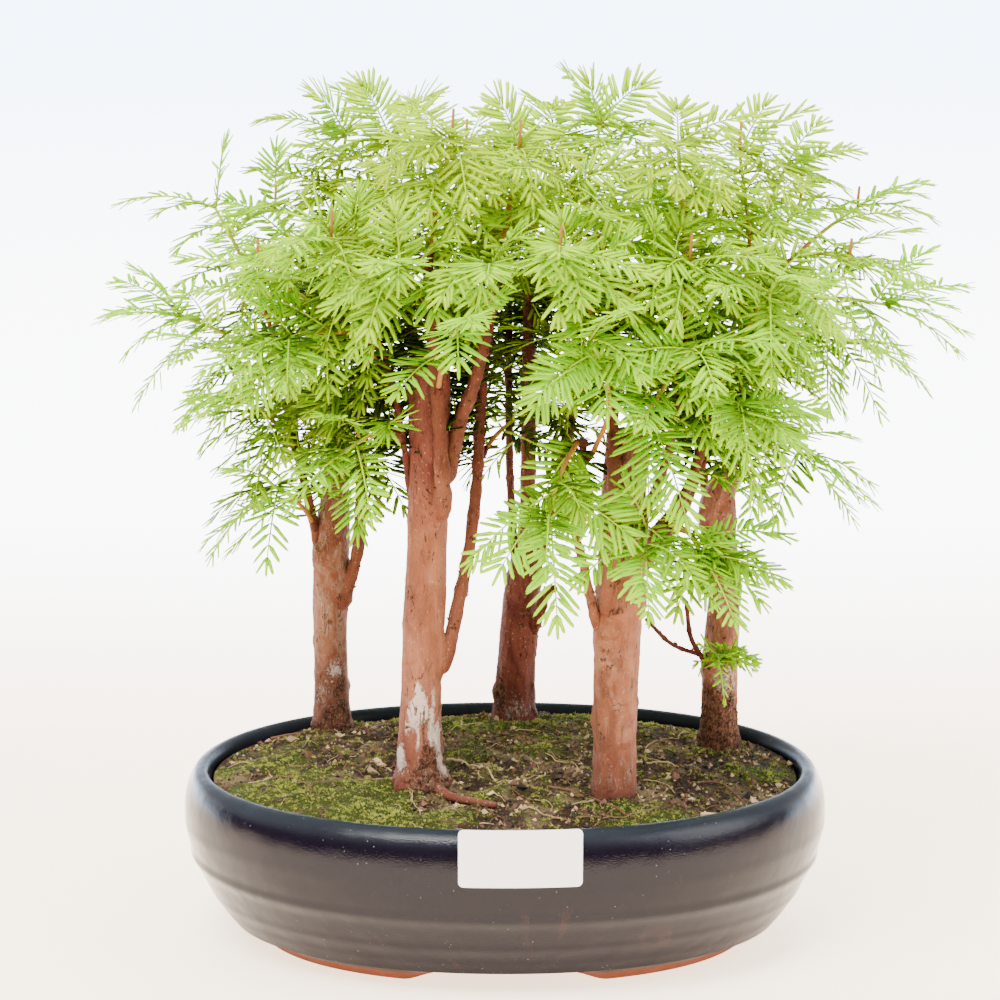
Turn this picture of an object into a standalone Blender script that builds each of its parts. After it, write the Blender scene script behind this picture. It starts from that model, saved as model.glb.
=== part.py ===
"""Dawn redwood bonsai forest: five topped trunks with leafy shoots, in soil in an oval glazed tray.

Lengths are in millimetres inside the script and become metres in the meshes. X runs along the tray,
Y away from its front, Z up. The trees are laid out from the middle of the tray, and the last step
moves everything so that the middle of the whole object's footprint is the origin.
"""

import bmesh
import bpy
import numpy as np

MM = 0.001
SEED = 11
GAP = 0.3  # clearance between neighbouring pieces
UP = np.array([0.0, 0.0, 1.0])

# Tray: half length and half width at its bulge, and the heights of its features
TRAY_A = 143.7
TRAY_B = 112.7
TRAY_FULLNESS = 2.1  # exponent of the oval, 2 is an ellipse
TRAY_SIDES = 40
BULGE_Z = 62.0
CREST_Z = 75.0
FLOOR_Z = 12.0
UNDER_Z = 5.0  # underside between the feet
FOOT_LIFT = 4.4  # height of the arches between the feet
FOOT_IN = 34.5  # inset of the foot ring's outer and inner edges from the bulge
FOOT_IN_INNER = 43.0
WALL_RIDGES = (19.0, 29.0, 39.0)  # heights of the soft throwing ridges
WALL_STATIONS = (13.0, 19.0, 24.0, 29.0, 34.0, 39.0, 50.0)
FOOT_MIDDLES = (42.0, 138.0, 222.0, 318.0)  # degrees round the tray
FOOT_HALF_SPAN = 25.0
ARCH_SPAN = 9.0  # degrees in which an arch beside a foot rises
WALL_FOOT = (25.0, 8.4)  # inset and height where the wall leaves the foot ring
WALL_HOLLOW = 21.5  # how far the wall draws in at its foot
WALL_CURVE = 1.9
RIDGE_HEIGHT = 0.9
RIDGE_HALF_WIDTH = 2.0
# Rim from the bulge over the crest and down inside, and the inside wall: (inset, height)
RIM = ((0.0, BULGE_Z), (0.8, 69.0), (3.0, 73.4), (6.5, CREST_Z), (10.4, 73.4), (12.6, 69.0))
INSIDE = ((16.0, 40.0), (34.0, FLOOR_Z))
DRAIN_X = 46.0
DRAIN_R = 8.0
SCREEN_HALF = 11.4
SCREEN_THICK = 1.0
SCREEN_BARS = 5  # bars and openings in turn along a side
POCKET_Z = FLOOR_Z + SCREEN_THICK + 2 * GAP  # top of the soil's pocket over a screen

# Soil
SOIL_EDGE_Z = 71.5
SOIL_CROWN = 6.0
SOIL_INSET = 13.4  # from the bulge, at the surface
SOIL_SHARES = (0.96, 0.76, 0.50, 0.20)  # rings of the surface, as shares of its outline
SOIL_LOWER = ((34.5, FLOOR_Z + GAP), (16.5, 40.2), (SOIL_INSET, SOIL_EDGE_Z - 1.5))
SWELL = 1.6  # rise of the soil round a trunk, and its reach
SWELL_REACH = 18.0
LUMPS = (0.7, 0.5)  # heights of the broad and the small lumps
HOLE_TOP = 92.0  # above the soil everywhere

# Blank label on the front of the tray
LABEL_X = (-19.7, 32.4)
LABEL_Z = (54.6, 79.6)
LABEL_THICK = 0.7
LABEL_CORNER = 1.6
LABEL_STATIONS = 7

# Leafy shoots
TWIG = 9.0  # length of the woody foot of each shoot, part of the tree
TWIG_R = (1.5, 1.2)
TWIG_POINTS = 3
LEAD = (0.45, 0.75, 0.25)  # a twig's direction: shares of the limb's, of the way to the tip and of up
LEAD_REACH = 0.45
SHOOT_TRIES = 60
BEND = (0.02, 0.012)  # spread of the bend tried first, and what each further try adds
SHOOT_STATIONS = 4
LIMB_ROOTED = 5.0  # how far below a limb's first point its foot stands inside the trunk
SHOOT_FREE = 1.5  # room sought round a shoot and round a frond
FROND_FREE = 0.5
FROND_TRIES = 70
TURN = 2.4  # from one frond to the next round a shoot, radians
TURN_SPREAD = (0.10, 0.02)
FROND_LIFT = (50.0, 66.0)  # angle between a frond and its shoot, degrees
END_LIFT = 0.9  # share of that angle at the end of an upright shoot
LEVEL = (0.45, 0.4)  # steepness of a level shoot, and what makes it upright
FLATTEN = 0.35  # share of the up and down in a frond's direction round a level shoot
OUTWARDS = 0.22  # pull of a frond towards the outside of the forest
OUT_STRETCH = np.array([1.0, 1.25, 0.0])
SIDE_SHARES = (0.30, 0.90)  # part of a shoot that carries side fronds
END_SHARE = 0.995
SHOOT_R = (1.15, 0.7)
FULL_SIZE_SHOOT = 30.0  # a shorter shoot has smaller fronds
LONG_SHOOT = 65.0  # a longer shoot has three side fronds, a shorter one two
FROND_LENGTH = (31.0, 42.0)
LEAFLET_LENGTH = 13.0
LEAFLET_PITCH = 7.6  # spacing of the leaflet pairs along a rib
LEAFLET_ANGLE = np.radians(56.0)
LEAFLET_SAG = 0.12
LEAFLET_SWELL = (0.60, 0.46)  # leaflet length at a rib's ends, and what its middle adds
LEAFY = (0.16, 0.94)  # part of a rib that carries leaflets
RIB_RISE = 0.10
RIB_DROOP = 0.30
RIB_TAPER = 0.75
RIB_WIDE = 1.1
RIB_DEEP = 1.0

# Trunks: stations (x, y, z, radius) from the buried foot to the cut top.
# Limbs: radii at foot and end, points (x, y, z) along the limb, and shoots as
# (share of the limb's length where the shoot leaves, x, y, z of the shoot's end).
TREES = {
    "tree_1": {
        "trunk": [(-81, 66, 46, 9.0), (-81, 66, 75, 9.4), (-81, 65, 84, 8.3), (-81, 64, 137, 8.1),
                  (-80, 64, 166, 8.0), (-78, 64, 192, 6.6), (-77, 64, 214, 6.0)],
        "limbs": [
            ((2.1, 1.3), [(-86, 62, 166), (-94, 60, 201), (-98, 60, 227), (-101, 60, 246)],
             [(1.0, -130, 48, 321), (0.9, -144, 36, 273), (0.72, -134, 84, 252), (0.5, -114, 20, 237),
              (0.12, -103, 34, 196)]),
            ((2.9, 1.8), [(-75, 62, 140), (-68, 58, 161), (-66, 56, 190), (-65, 56, 245), (-65, 56, 260)],
             [(1.0, -51, 46, 352), (0.9, -73, 118, 298), (0.5, -71, 8, 240)]),
            ((2.6, 1.6), [(-77, 66, 210), (-80, 70, 249), (-83, 74, 276)],
             [(1.0, -72, 68, 351), (0.75, -107, 104, 314)]),
        ],
    },
    "tree_2": {
        "trunk": [(-37, -40, 46, 10.4), (-37, -40, 77, 11.6), (-37, -41, 90, 10.0), (-36, -42, 128, 9.0),
                  (-34, -42, 180, 8.6), (-33, -42, 232, 8.6), (-33, -42, 265, 9.4)],
        "limbs": [
            ((3.0, 2.0), [(-27, -49, 206), (-27, -54, 223), (-29, -56, 258), (-31, -58, 286), (-32, -60, 307)],
             [(1.0, -22, -62, 362), (0.8, -43, -100, 314), (0.5, -19, -106, 290)]),
            ((3.0, 2.0), [(-25, -42, 219), (-20, -44, 238), (-14, -46, 255), (-9, -48, 274), (-2, -50, 310)],
             [(1.0, 6, -48, 356), (0.75, -6, -100, 314)]),
            ((2.7, 1.8), [(-26, -42, 137), (-20, -40, 161), (-15, -36, 186), (-12, -32, 215), (-10, -28, 251),
                          (-7, -26, 277)],
             [(1.0, -2, -8, 329), (0.62, 7, -8, 236)]),
            ((1.5, 1.2), [(-40, -42, 205), (-43, -46, 228), (-47, -50, 253), (-52, -54, 271), (-57, -58, 286)],
             [(1.0, -72, -74, 322), (0.85, -90, -68, 280), (0.4, -67, -72, 232), (0.7, -105, -44, 304)]),
            ((2.0, 1.4), [(-36, -36, 261), (-40, -30, 273), (-43, -24, 294)],
             [(1.0, -46, 2, 334)]),
        ],
    },
    "tree_3": {
        "trunk": [(5, 72, 46, 10.0), (5, 72, 77, 10.2), (5, 71, 88, 9.3), (7, 70, 126, 8.7), (9, 70, 146, 8.4),
                  (10, 70, 156, 6.4)],
        "limbs": [
            ((3.9, 2.0), [(10, 70, 150), (11, 70, 206), (11, 70, 249), (11, 70, 290)],
             [(1.0, 23, 74, 351), (0.7, 19, 130, 276)]),
            ((1.9, 1.3), [(6, 72, 147), (3, 80, 181), (2, 84, 218), (2, 88, 279)],
             [(1.0, -18, 98, 342), (0.7, -35, 124, 292)]),
            ((2.9, 2.0), [(13, 70, 150), (26, 66, 198), (32, 64, 240), (33, 62, 295)],
             [(1.0, 43, 60, 357), (0.75, 68, 114, 318)]),
            ((2.2, 1.7), [(11, 68, 118), (16, 60, 131), (19, 56, 142), (23, 52, 145)], []),
        ],
    },
    "tree_4": {
        "trunk": [(47, -49, 46, 10.0), (47, -49, 75, 10.0), (47, -50, 88, 9.4), (48, -50, 126, 9.4),
                  (49, -50, 153, 9.8), (50, -50, 198, 9.4), (52, -50, 237, 8.8)],
        "limbs": [
            ((2.8, 2.0), [(44, -58, 165), (45, -61, 186), (46, -62, 228), (45, -64, 252), (46, -64, 299)],
             [(1.0, 28, -57, 342), (0.93, 76, -82, 313), (0.8, 22, -106, 320), (0.5, 75, -102, 280)]),
            ((1.9, 1.3), [(40, -54, 153), (36, -60, 169), (32, -66, 187), (29, -70, 203), (33, -72, 236)],
             [(1.0, 18, -104, 213), (0.9, 34, -112, 286)]),
            ((2.3, 1.6), [(56, -50, 181), (65, -48, 193), (79, -42, 212), (88, -38, 240), (104, -32, 278)],
             [(1.0, 100, -22, 352), (0.75, 110, -96, 306), (0.2, 82, -84, 190)]),
            ((2.2, 1.5), [(56, -44, 173), (74, -30, 192), (87, -16, 219), (93, -8, 235), (97, 0, 260)],
             [(1.0, 121, 0, 343)]),
            ((2.0, 1.4), [(54, -50, 190), (63, -56, 210), (70, -62, 236), (75, -70, 281)],
             [(1.0, 72, -54, 360), (0.7, 96, -94, 256), (0.15, 58, -90, 196)]),
        ],
    },
    "tree_5": {
        "trunk": [(98, 29, 46, 9.2), (98, 29, 75, 9.6), (98, 28, 90, 8.4), (98, 28, 116, 8.0),
                  (99, 28, 157, 7.0), (95, 28, 186, 7.8), (100, 28, 205, 6.2)],
        "limbs": [
            ((2.7, 1.7), [(100, 28, 201), (104, 28, 224), (108, 28, 253), (112, 28, 278), (114, 28, 291)],
             [(1.0, 131, 30, 326), (0.9, 158, 44, 322), (0.78, 166, 10, 283), (0.6, 158, 74, 257),
              (0.95, 147, -32, 308), (0.3, 130, 0, 218)]),
            ((2.0, 1.4), [(94, 34, 181), (89, 46, 206), (86, 56, 232), (85, 62, 264)],
             [(1.0, 86, 98, 318), (0.6, 134, 110, 262)]),
            ((1.4, 0.9), [(93, 22, 115), (88, 14, 123), (83, 8, 134), (81, 4, 150)],
             [(0.3, 96, 4, 125)]),
            ((1.1, 0.8), [(90, 20, 121), (75, 10, 129), (63, 4, 142)], []),
        ],
    },
}
LIMB_SIDES = 4
TWIG_SIDES = 3
TRUNK_SIDES = 10
DRAIN_SIDES = 12
SHARP = np.radians(50.0)  # edges sharper than this stay sharp in the shading

# Surface root of the second tree, from the trunk's foot to where it dips into the soil: x and y
ROOT_WALK = [(-33, -46), (-24, -58), (-14, -64), (-4, -67)]
ROOT_R = (2.6, 1.5)
ROOT_FREE = 0.9  # from the soil to the underside of the root

# Colours in sRGB from 0 to 1, and roughness
FINISHES = {
    "tray_glaze": ((0.06, 0.06, 0.11), 0.12),
    "soil_earth": ((0.30, 0.24, 0.13), 0.95),
    "screen_plastic": ((0.10, 0.10, 0.10), 0.5),
    "label_paper": ((0.95, 0.95, 0.95), 0.35),
    "bark": ((0.52, 0.30, 0.22), 0.8),
    "leaf": ((0.55, 0.76, 0.16), 0.5),
}


def unit(v):
    """The vectors at length 1."""
    return v / np.linalg.norm(v, axis=-1, keepdims=True)


def bezier(start, middle, end, count):
    """Points on the quadratic curve from start to end that leans towards middle."""
    t = np.linspace(0.0, 1.0, count)[:, None]
    return (1 - t) ** 2 * start + 2 * t * (1 - t) * middle + t**2 * end


def along(path, share):
    """The point and the direction at a share of the length of a polyline."""
    steps = np.linalg.norm(np.diff(path, axis=0), axis=1)
    walked = np.concatenate([[0.0], np.cumsum(steps)])
    here = min(share, 0.999) * walked[-1]
    i = int(np.searchsorted(walked, here, side="right")) - 1
    part = (here - walked[i]) / steps[i]
    return path[i] + part * (path[i + 1] - path[i]), unit(path[i + 1] - path[i])


def capsules(path, radii):
    """Rows (start, end, start radius, end radius) for the pieces of a path."""
    radii = np.broadcast_to(np.asarray(radii, float), len(path))
    return np.column_stack([path[:-1], path[1:], radii[:-1], radii[1:]])


def clearance(first, second):
    """The least free distance between two sets of tapered capsules."""
    p1, q1, p2, q2 = first[:, None, :3], first[:, None, 3:6], second[None, :, :3], second[None, :, 3:6]
    d1, d2, r = q1 - p1, q2 - p2, p1 - p2
    a, e, f = (d1 * d1).sum(-1), (d2 * d2).sum(-1), (d2 * r).sum(-1)
    b, c = (d1 * d2).sum(-1), (d1 * r).sum(-1)
    s = np.clip((b * f - c * e) / np.maximum(a * e - b * b, 1e-9), 0, 1)
    t = np.clip((b * s + f) / e, 0, 1)
    s = np.clip((b * t - c) / a, 0, 1)
    apart = np.linalg.norm(r + s[..., None] * d1 - t[..., None] * d2, axis=-1)
    wide1 = first[:, None, 6] + s * (first[:, 7] - first[:, 6])[:, None]
    wide2 = second[None, :, 6] + t * (second[:, 7] - second[:, 6])[None, :]
    return (apart - wide1 - wide2).min()


def frond_ribs(root, heading, length, out, leaf):
    """Rib points, flat sideways directions, face directions and leaflet tips of one frond.

    The rib leaves along heading, rises a little and droops as the square of the distance. Leaflets
    stand in pairs between its stations, longest in the middle, at a fixed angle to the rib.
    """
    pairs = max(3, int(round(length * (LEAFY[1] - LEAFY[0]) / LEAFLET_PITCH)))
    s = np.concatenate([[0.0], np.linspace(*LEAFY, pairs + 1)])[:, None]
    rib = root + length * (s * heading + UP * (RIB_RISE * s - RIB_DROOP * s * s))
    way = unit(np.gradient(rib, axis=0))
    face = UP + 0.5 * out
    face = unit(face - way * (way * face).sum(-1, keepdims=True))
    side = np.cross(way, face)
    middle = (rib[1:-1] + rib[2:]) / 2
    share = (s[1:-1] + s[2:]) / 2
    reach = leaf * (LEAFLET_SWELL[0] + LEAFLET_SWELL[1] * np.sin(np.pi * (0.12 + 0.80 * share)))
    forward = np.cos(LEAFLET_ANGLE) * way[1:-1]
    sideways = np.sin(LEAFLET_ANGLE) * side[1:-1]
    sag = LEAFLET_SAG * face[1:-1]
    right = middle + reach * (forward + sideways - sag)
    left = middle + reach * (forward - sideways - sag)
    end = rib[-1] + way[-1] * leaf * 0.75
    return {"rib": rib, "side": side, "face": face, "middle": middle, "right": right, "left": left,
            "end": end}


def frond_capsules(frond):
    """The room that a frond takes: its rib and its leaflets as tapered capsules."""
    half = 0.5 * LEAFLET_PITCH * np.sin(LEAFLET_ANGLE)
    rows = [capsules(frond["rib"], 0.6)]
    rows.append(capsules(np.array([frond["rib"][-1], frond["end"]]), 0.5))
    for tips in (frond["right"], frond["left"]):
        wide = np.full(len(tips), half)
        rows.append(np.column_stack([frond["middle"], tips, wide, wide * 0.1]))
    return np.concatenate(rows)


def limb_paths(tree):
    """The limbs of a tree as (path, radii), each with a foot inside the trunk a little below it."""
    trunk = np.array(tree["trunk"], float)
    limbs = []
    for ends, points, _ in tree["limbs"]:
        path = np.array(points, float)
        low = path[0, 2] - LIMB_ROOTED
        foot = [np.interp(low, trunk[:, 2], trunk[:, k]) for k in (0, 1)]
        path = np.vstack([[*foot, low], path])
        limbs.append((path, np.linspace(*ends, len(path))))
    return limbs


def bent_shoot(start, tangent, tip, bend):
    """A woody twig and the leafy shoot beyond it, on one curve that leaves a limb and ends at the tip."""
    reach = np.linalg.norm(tip - start)
    lead = unit(LEAD[0] * tangent + LEAD[1] * unit(tip - start) + LEAD[2] * UP + bend)
    line = bezier(start, start + lead * reach * LEAD_REACH, tip, 40)
    walked = np.concatenate([[0], np.cumsum(np.linalg.norm(np.diff(line, axis=0), axis=1))])

    def at(stations):
        return np.array([np.interp(stations, walked, line[:, k]) for k in range(3)]).T

    return at(np.linspace(0.0, TWIG, TWIG_POINTS)), at(np.linspace(TWIG, walked[-1], SHOOT_STATIONS))


def place_shoots(rng, wood, taken):
    """Grows a shoot to each tip, bending it until it is clear of what stands already."""
    shoots = []
    for name, tree in TREES.items():
        for (path, _), (_, _, tips) in zip(list(wood[name]), tree["limbs"]):
            for share, *tip in tips:
                start, tangent = along(path, share)
                best, widest = None, -np.inf
                for attempt in range(SHOOT_TRIES):
                    bend = rng.normal(0.0, BEND[0] + BEND[1] * attempt, 3)
                    twig, line = bent_shoot(start, tangent, np.array(tip, float), bend)
                    free = clearance(capsules(line, SHOOT_R[0]), np.concatenate(taken))
                    if shoots:
                        rooms = np.concatenate([shoot["room"] for shoot in shoots])
                        free = min(free, clearance(capsules(twig[1:], TWIG_R[1]), rooms))
                    if free > widest:
                        best, widest = (twig, line), free
                    if free > SHOOT_FREE:
                        break
                twig, line = best
                wood[name].append((twig, np.linspace(*TWIG_R, len(twig))))
                room = capsules(line, SHOOT_R[0])
                taken += [capsules(twig[1:], TWIG_R[1]), room]
                shoots.append({"tree": name, "path": line, "room": room, "fronds": []})
    return shoots


def frond_heading(rng, way, out, turn, attempt, at_end):
    """A direction for a frond: out from the shoot at a wide angle, flatter round a level shoot, or
    nearly straight on at the end of a level shoot."""
    loose = TURN_SPREAD[0] + TURN_SPREAD[1] * attempt
    steep = abs(way[2])
    sideways = unit(np.cross(way, UP) + 1e-6)
    over = np.cross(sideways, way)
    around = turn + rng.normal(0.0, loose)
    lift = np.radians(rng.uniform(*FROND_LIFT))
    if at_end:
        lift *= END_LIFT * np.clip((steep - LEVEL[0]) / LEVEL[1], 0.0, 1.0)
    across = np.cos(around) * sideways + np.sin(around) * over * (FLATTEN + (1 - FLATTEN) * steep)
    return unit(np.cos(lift) * way + np.sin(lift) * unit(across) + OUTWARDS * out)


def place_fronds(rng, shoots, standing):
    """Sets fronds on every shoot, first at the ends and then along the sides, turned until clear."""
    lines = [shoot["room"] for shoot in shoots]
    for at_end in (True, False):
        for index, shoot in enumerate(shoots):
            path = shoot["path"]
            length = np.linalg.norm(np.diff(path, axis=0), axis=1).sum()
            size = np.clip(length / FULL_SIZE_SHOOT, 0.5, 1.0)
            count = 1 if at_end else (3 if length > LONG_SHOOT else 2)
            turn = rng.uniform(0.0, 2 * np.pi)
            for k in range(count):
                share = END_SHARE if at_end else np.interp((k + 0.5) / count, (0, 1), SIDE_SHARES)
                root, way = along(path, share)
                out = unit(root * OUT_STRETCH + 1e-6)
                others = np.concatenate(standing + lines[:index] + lines[index + 1:])
                best, widest = None, -np.inf
                for attempt in range(FROND_TRIES):
                    heading = frond_heading(rng, way, out, turn + TURN * k, attempt, at_end)
                    reach = rng.uniform(*FROND_LENGTH) * size * (1.0 - 0.004 * attempt)
                    frond = frond_ribs(root, heading, reach, out, LEAFLET_LENGTH * size)
                    room = frond_capsules(frond)
                    free = min(clearance(room[1:], others), clearance(room[2:], lines[index]) + 1.2)
                    if free > widest:
                        best, widest = frond, free
                    if free > FROND_FREE:
                        break
                if widest > FROND_FREE / 2:
                    shoot["fronds"].append(best)
                    standing.append(frond_capsules(best))


def grow():
    """Every limb and twig of each tree, and every shoot with its fronds, each clear of the others."""
    rng = np.random.default_rng(SEED)
    wood = {name: limb_paths(tree) for name, tree in TREES.items()}
    standing = []
    for name, tree in TREES.items():
        trunk = np.array(tree["trunk"], float)
        standing.append(capsules(trunk[:, :3], trunk[:, 3]))
        standing += [capsules(path, radii) for path, radii in wood[name]]
    taken = list(standing)
    shoots = place_shoots(rng, wood, taken)
    for twigs in wood.values():
        standing += [capsules(path[1:], TWIG_R[1]) for path, _ in twigs if len(path) == TWIG_POINTS]
    place_fronds(rng, shoots, standing)
    return wood, shoots


def material(name, finish):
    """A plain material in one of the finishes."""
    colour, roughness = FINISHES[finish]
    made = bpy.data.materials.new(name)
    made.use_nodes = True
    shader = made.node_tree.nodes["Principled BSDF"]
    shader.inputs["Base Color"].default_value = (*[c**2.2 for c in colour], 1.0)
    shader.inputs["Roughness"].default_value = roughness
    return made


def add_object(name, points, faces, finish=None):
    """A mesh object from points in millimetres and faces, with its faces turned outwards."""
    mesh = bpy.data.meshes.new(name)
    mesh.from_pydata((np.asarray(points, float) * MM).tolist(), [], [list(map(int, face)) for face in faces])
    corners = [[face[0], face[i], face[i + 1]] for face in faces for i in range(1, len(face) - 1)]
    p = np.asarray(points, float)[np.array(corners)]
    if np.einsum("ij,ij->i", p[:, 0], np.cross(p[:, 1], p[:, 2])).sum() < 0:
        mesh.flip_normals()
    if finish:
        mesh.materials.append(finish)
    made = bpy.data.objects.new(name, mesh)
    bpy.context.scene.collection.objects.link(made)
    return made


def rings_solid(rings):
    """Points and faces of a closed solid from a stack of equal rings, its ends closed by flat caps."""
    levels, sides = rings.shape[:2]
    i, j = np.meshgrid(np.arange(levels - 1), np.arange(sides), indexing="ij")
    a = i * sides + j
    b = i * sides + (j + 1) % sides
    quads = np.stack([a, b, b + sides, a + sides], axis=-1).reshape(-1, 4).tolist()
    top = (levels - 1) * sides
    return rings.reshape(-1, 3), quads + [list(range(sides))[::-1], list(range(top, top + sides))]


def tube(path, radii, sides):
    """Points and faces of a tapered rod along a path: a ring of so many sides stands at each point."""
    way = unit(np.gradient(path, axis=0))
    across = np.eye(3)[0 if abs(way.mean(axis=0)[0]) < 0.7 else 1]
    one = unit(np.cross(way, across))
    two = np.cross(way, one)
    angle = np.arange(sides) * 2 * np.pi / sides
    round_ = np.cos(angle)[None, :, None] * one[:, None] + np.sin(angle)[None, :, None] * two[:, None]
    return rings_solid(path[:, None] + np.asarray(radii)[:, None, None] * round_)


def frond_solid(frond):
    """Points and faces of one frond: a three-edged rib from which each leaflet rises to its tip."""
    rib, side, face = frond["rib"], frond["side"], frond["face"]
    n = len(rib)
    taper = np.linspace(1.0, RIB_TAPER, n)[:, None]
    left = rib - side * RIB_WIDE / 2 * taper
    right = rib + side * RIB_WIDE / 2 * taper
    keel = rib - face * RIB_DEEP * taper
    pairs = n - 2
    points = np.concatenate([left, right, keel, frond["right"], frond["left"], frond["end"][None]])
    a, b, c = np.arange(n), n + np.arange(n), 2 * n + np.arange(n)
    r, q, end = 3 * n + np.arange(pairs), 3 * n + pairs + np.arange(pairs), 3 * n + 2 * pairs
    faces = [[a[0], c[0], b[0]], [a[0], b[0], b[1], a[1]], [b[0], c[0], c[1], b[1]], [c[0], a[0], a[1], c[1]]]
    for i in range(1, n - 1):
        tip = r[i - 1]
        faces += [[b[i], tip, b[i + 1]], [c[i], c[i + 1], tip], [b[i], c[i], tip], [b[i + 1], tip, c[i + 1]]]
        tip = q[i - 1]
        faces += [[a[i], a[i + 1], tip], [c[i], tip, c[i + 1]], [a[i], tip, c[i]], [a[i + 1], c[i + 1], tip]]
        faces += [[a[i], b[i], b[i + 1], a[i + 1]]]
    faces += [[a[-1], b[-1], end], [b[-1], c[-1], end], [c[-1], a[-1], end]]
    return points, faces


def combine(target, others, operation):
    """Joins the other closed solids to the target, or cuts them from it, and removes them. The exact
    solver leaves loose scraps where thin twigs meet, so the manifold one is used."""
    group = bpy.data.collections.new("combined")
    bpy.context.scene.collection.children.link(group)
    for other in others:
        group.objects.link(other)
        bpy.context.scene.collection.objects.unlink(other)
    modifier = target.modifiers.new("combine", "BOOLEAN")
    modifier.operation = operation
    modifier.operand_type = "COLLECTION"
    modifier.collection = group
    modifier.solver = "MANIFOLD"
    with bpy.context.temp_override(object=target, active_object=target):
        bpy.ops.object.modifier_apply(modifier=modifier.name)
    for other in others:
        bpy.data.objects.remove(other, do_unlink=True)
    bpy.data.collections.remove(group)
    keep_outer_skin(target)


def keep_outer_skin(target):
    """Keeps only the widest connected skin of a mesh, which fills a hollow that the joining sealed and
    drops a loose scrap."""
    shape = bmesh.new()
    shape.from_mesh(target.data)
    bmesh.ops.triangulate(shape, faces=shape.faces)
    waiting, skins = set(shape.faces), []
    while waiting:
        skin, edge = set(), [waiting.pop()]
        while edge:
            face = edge.pop()
            skin.add(face)
            shared = [line.link_faces for line in face.edges if len(line.link_faces) == 2]
            near = {other for pair in shared for other in pair} & waiting
            waiting -= near
            edge += near
        skins.append(skin)
    if len(skins) > 1:
        spans = [np.ptp([vertex.co for face in skin for vertex in face.verts], axis=0).sum() for skin in skins]
        widest = int(np.argmax(spans))
        scraps = [face for i, skin in enumerate(skins) if i != widest for face in skin]
        bmesh.ops.delete(shape, geom=scraps, context="FACES")
    shape.to_mesh(target.data)
    shape.free()


def oval(inset, height):
    """A ring of the tray's oval, set in from its bulge by a distance."""
    angle = np.arange(TRAY_SIDES) * 2 * np.pi / TRAY_SIDES
    power = 2.0 / TRAY_FULLNESS
    c, s = np.cos(angle), np.sin(angle)
    x = (TRAY_A - inset) * np.sign(c) * np.abs(c) ** power
    y = (TRAY_B - inset) * np.sign(s) * np.abs(s) ** power
    return np.column_stack([x, y, np.broadcast_to(height, TRAY_SIDES)])


def foot_height():
    """Height of the foot ring's lower edge: zero on the four feet, and an arch between them."""
    degrees = np.arange(TRAY_SIDES) * 360.0 / TRAY_SIDES
    away = np.min([np.abs((degrees - m + 180) % 360 - 180) for m in FOOT_MIDDLES], axis=0)
    return FOOT_LIFT * np.clip((away - FOOT_HALF_SPAN) / ARCH_SPAN, 0, 1)


def make_tray():
    """The tray: one closed loft from the underside, round the feet and the bulging wall, over the
    rolled rim and down the inside to the floor, with two drain holes."""
    foot = foot_height()
    rings = [oval(FOOT_IN_INNER + 2, UNDER_Z), oval(FOOT_IN_INNER, foot), oval(FOOT_IN, foot),
             oval(WALL_FOOT[0], WALL_FOOT[1])]
    for z in WALL_STATIONS:
        hollow = WALL_HOLLOW * ((BULGE_Z - z) / (BULGE_Z - WALL_FOOT[1])) ** WALL_CURVE
        ridge = sum(np.exp(-(((z - level) / RIDGE_HALF_WIDTH) ** 2)) for level in WALL_RIDGES)
        rings.append(oval(hollow - RIDGE_HEIGHT * ridge, z))
    rings += [oval(inset, z) for inset, z in RIM + INSIDE]
    tray = add_object("tray", *rings_solid(np.array(rings)), material("tray_glaze", "tray_glaze"))
    drains = []
    for x in (-DRAIN_X, DRAIN_X):
        path = np.array([[x, 0, UNDER_Z - 4], [x, 0, FLOOR_Z + 4]])
        drains.append(add_object("drain", *tube(path, [DRAIN_R, DRAIN_R], DRAIN_SIDES)))
    combine(tray, drains, "DIFFERENCE")


def soil_height(x, y):
    """Height of the soil: a low crown that falls to the rim, a swell round each trunk, and lumps."""
    r = np.sqrt((x / (TRAY_A - SOIL_INSET)) ** 2 + (y / (TRAY_B - SOIL_INSET)) ** 2)
    z = SOIL_EDGE_Z + SOIL_CROWN * (1 - np.clip(r, 0, 1) ** 4)
    for tree in TREES.values():
        tx, ty = tree["trunk"][1][:2]
        z = z + SWELL * np.exp(-((x - tx) ** 2 + (y - ty) ** 2) / SWELL_REACH**2)
    lumps = LUMPS[0] * np.sin(x / 9.0 + 1.3) * np.cos(y / 8.0) + LUMPS[1] * np.sin(x / 4.6 - y / 6.1)
    return z + lumps * (1 - r**6)


def trunk_cutter(tree):
    """The plain hole for a trunk's foot, with the clearance all round and below."""
    foot = np.array(tree["trunk"], float)[:3]
    path = foot[:, :3].copy()
    path[0, 2] -= GAP
    path[2, 2] = HOLE_TOP
    return add_object("hole", *tube(path, foot[:, 3] + GAP * 1.1, TRUNK_SIDES))


def make_soil():
    """The soil: it fills the tray with a small clearance, and its top is rings of the tray's oval laid
    on the height formula."""
    rings = [oval(inset, z) for inset, z in SOIL_LOWER]
    for share in SOIL_SHARES:
        ring = oval(SOIL_INSET, 0.0) * share
        ring[:, 2] = soil_height(ring[:, 0], ring[:, 1])
        rings.append(ring)
    soil = add_object("soil", *rings_solid(np.array(rings)), material("soil_earth", "soil_earth"))
    cutters = [trunk_cutter(tree) for tree in TREES.values()]
    half = SCREEN_HALF + GAP
    square = np.array([(-half, -half), (half, -half), (half, half), (-half, half)])
    for x in (-DRAIN_X, DRAIN_X):
        rings = [np.column_stack([square + (x, 0), np.full(4, z)]) for z in (FLOOR_Z - 2, POCKET_Z)]
        cutters.append(add_object("pocket", *rings_solid(np.array(rings))))
    combine(soil, cutters, "DIFFERENCE")


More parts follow.
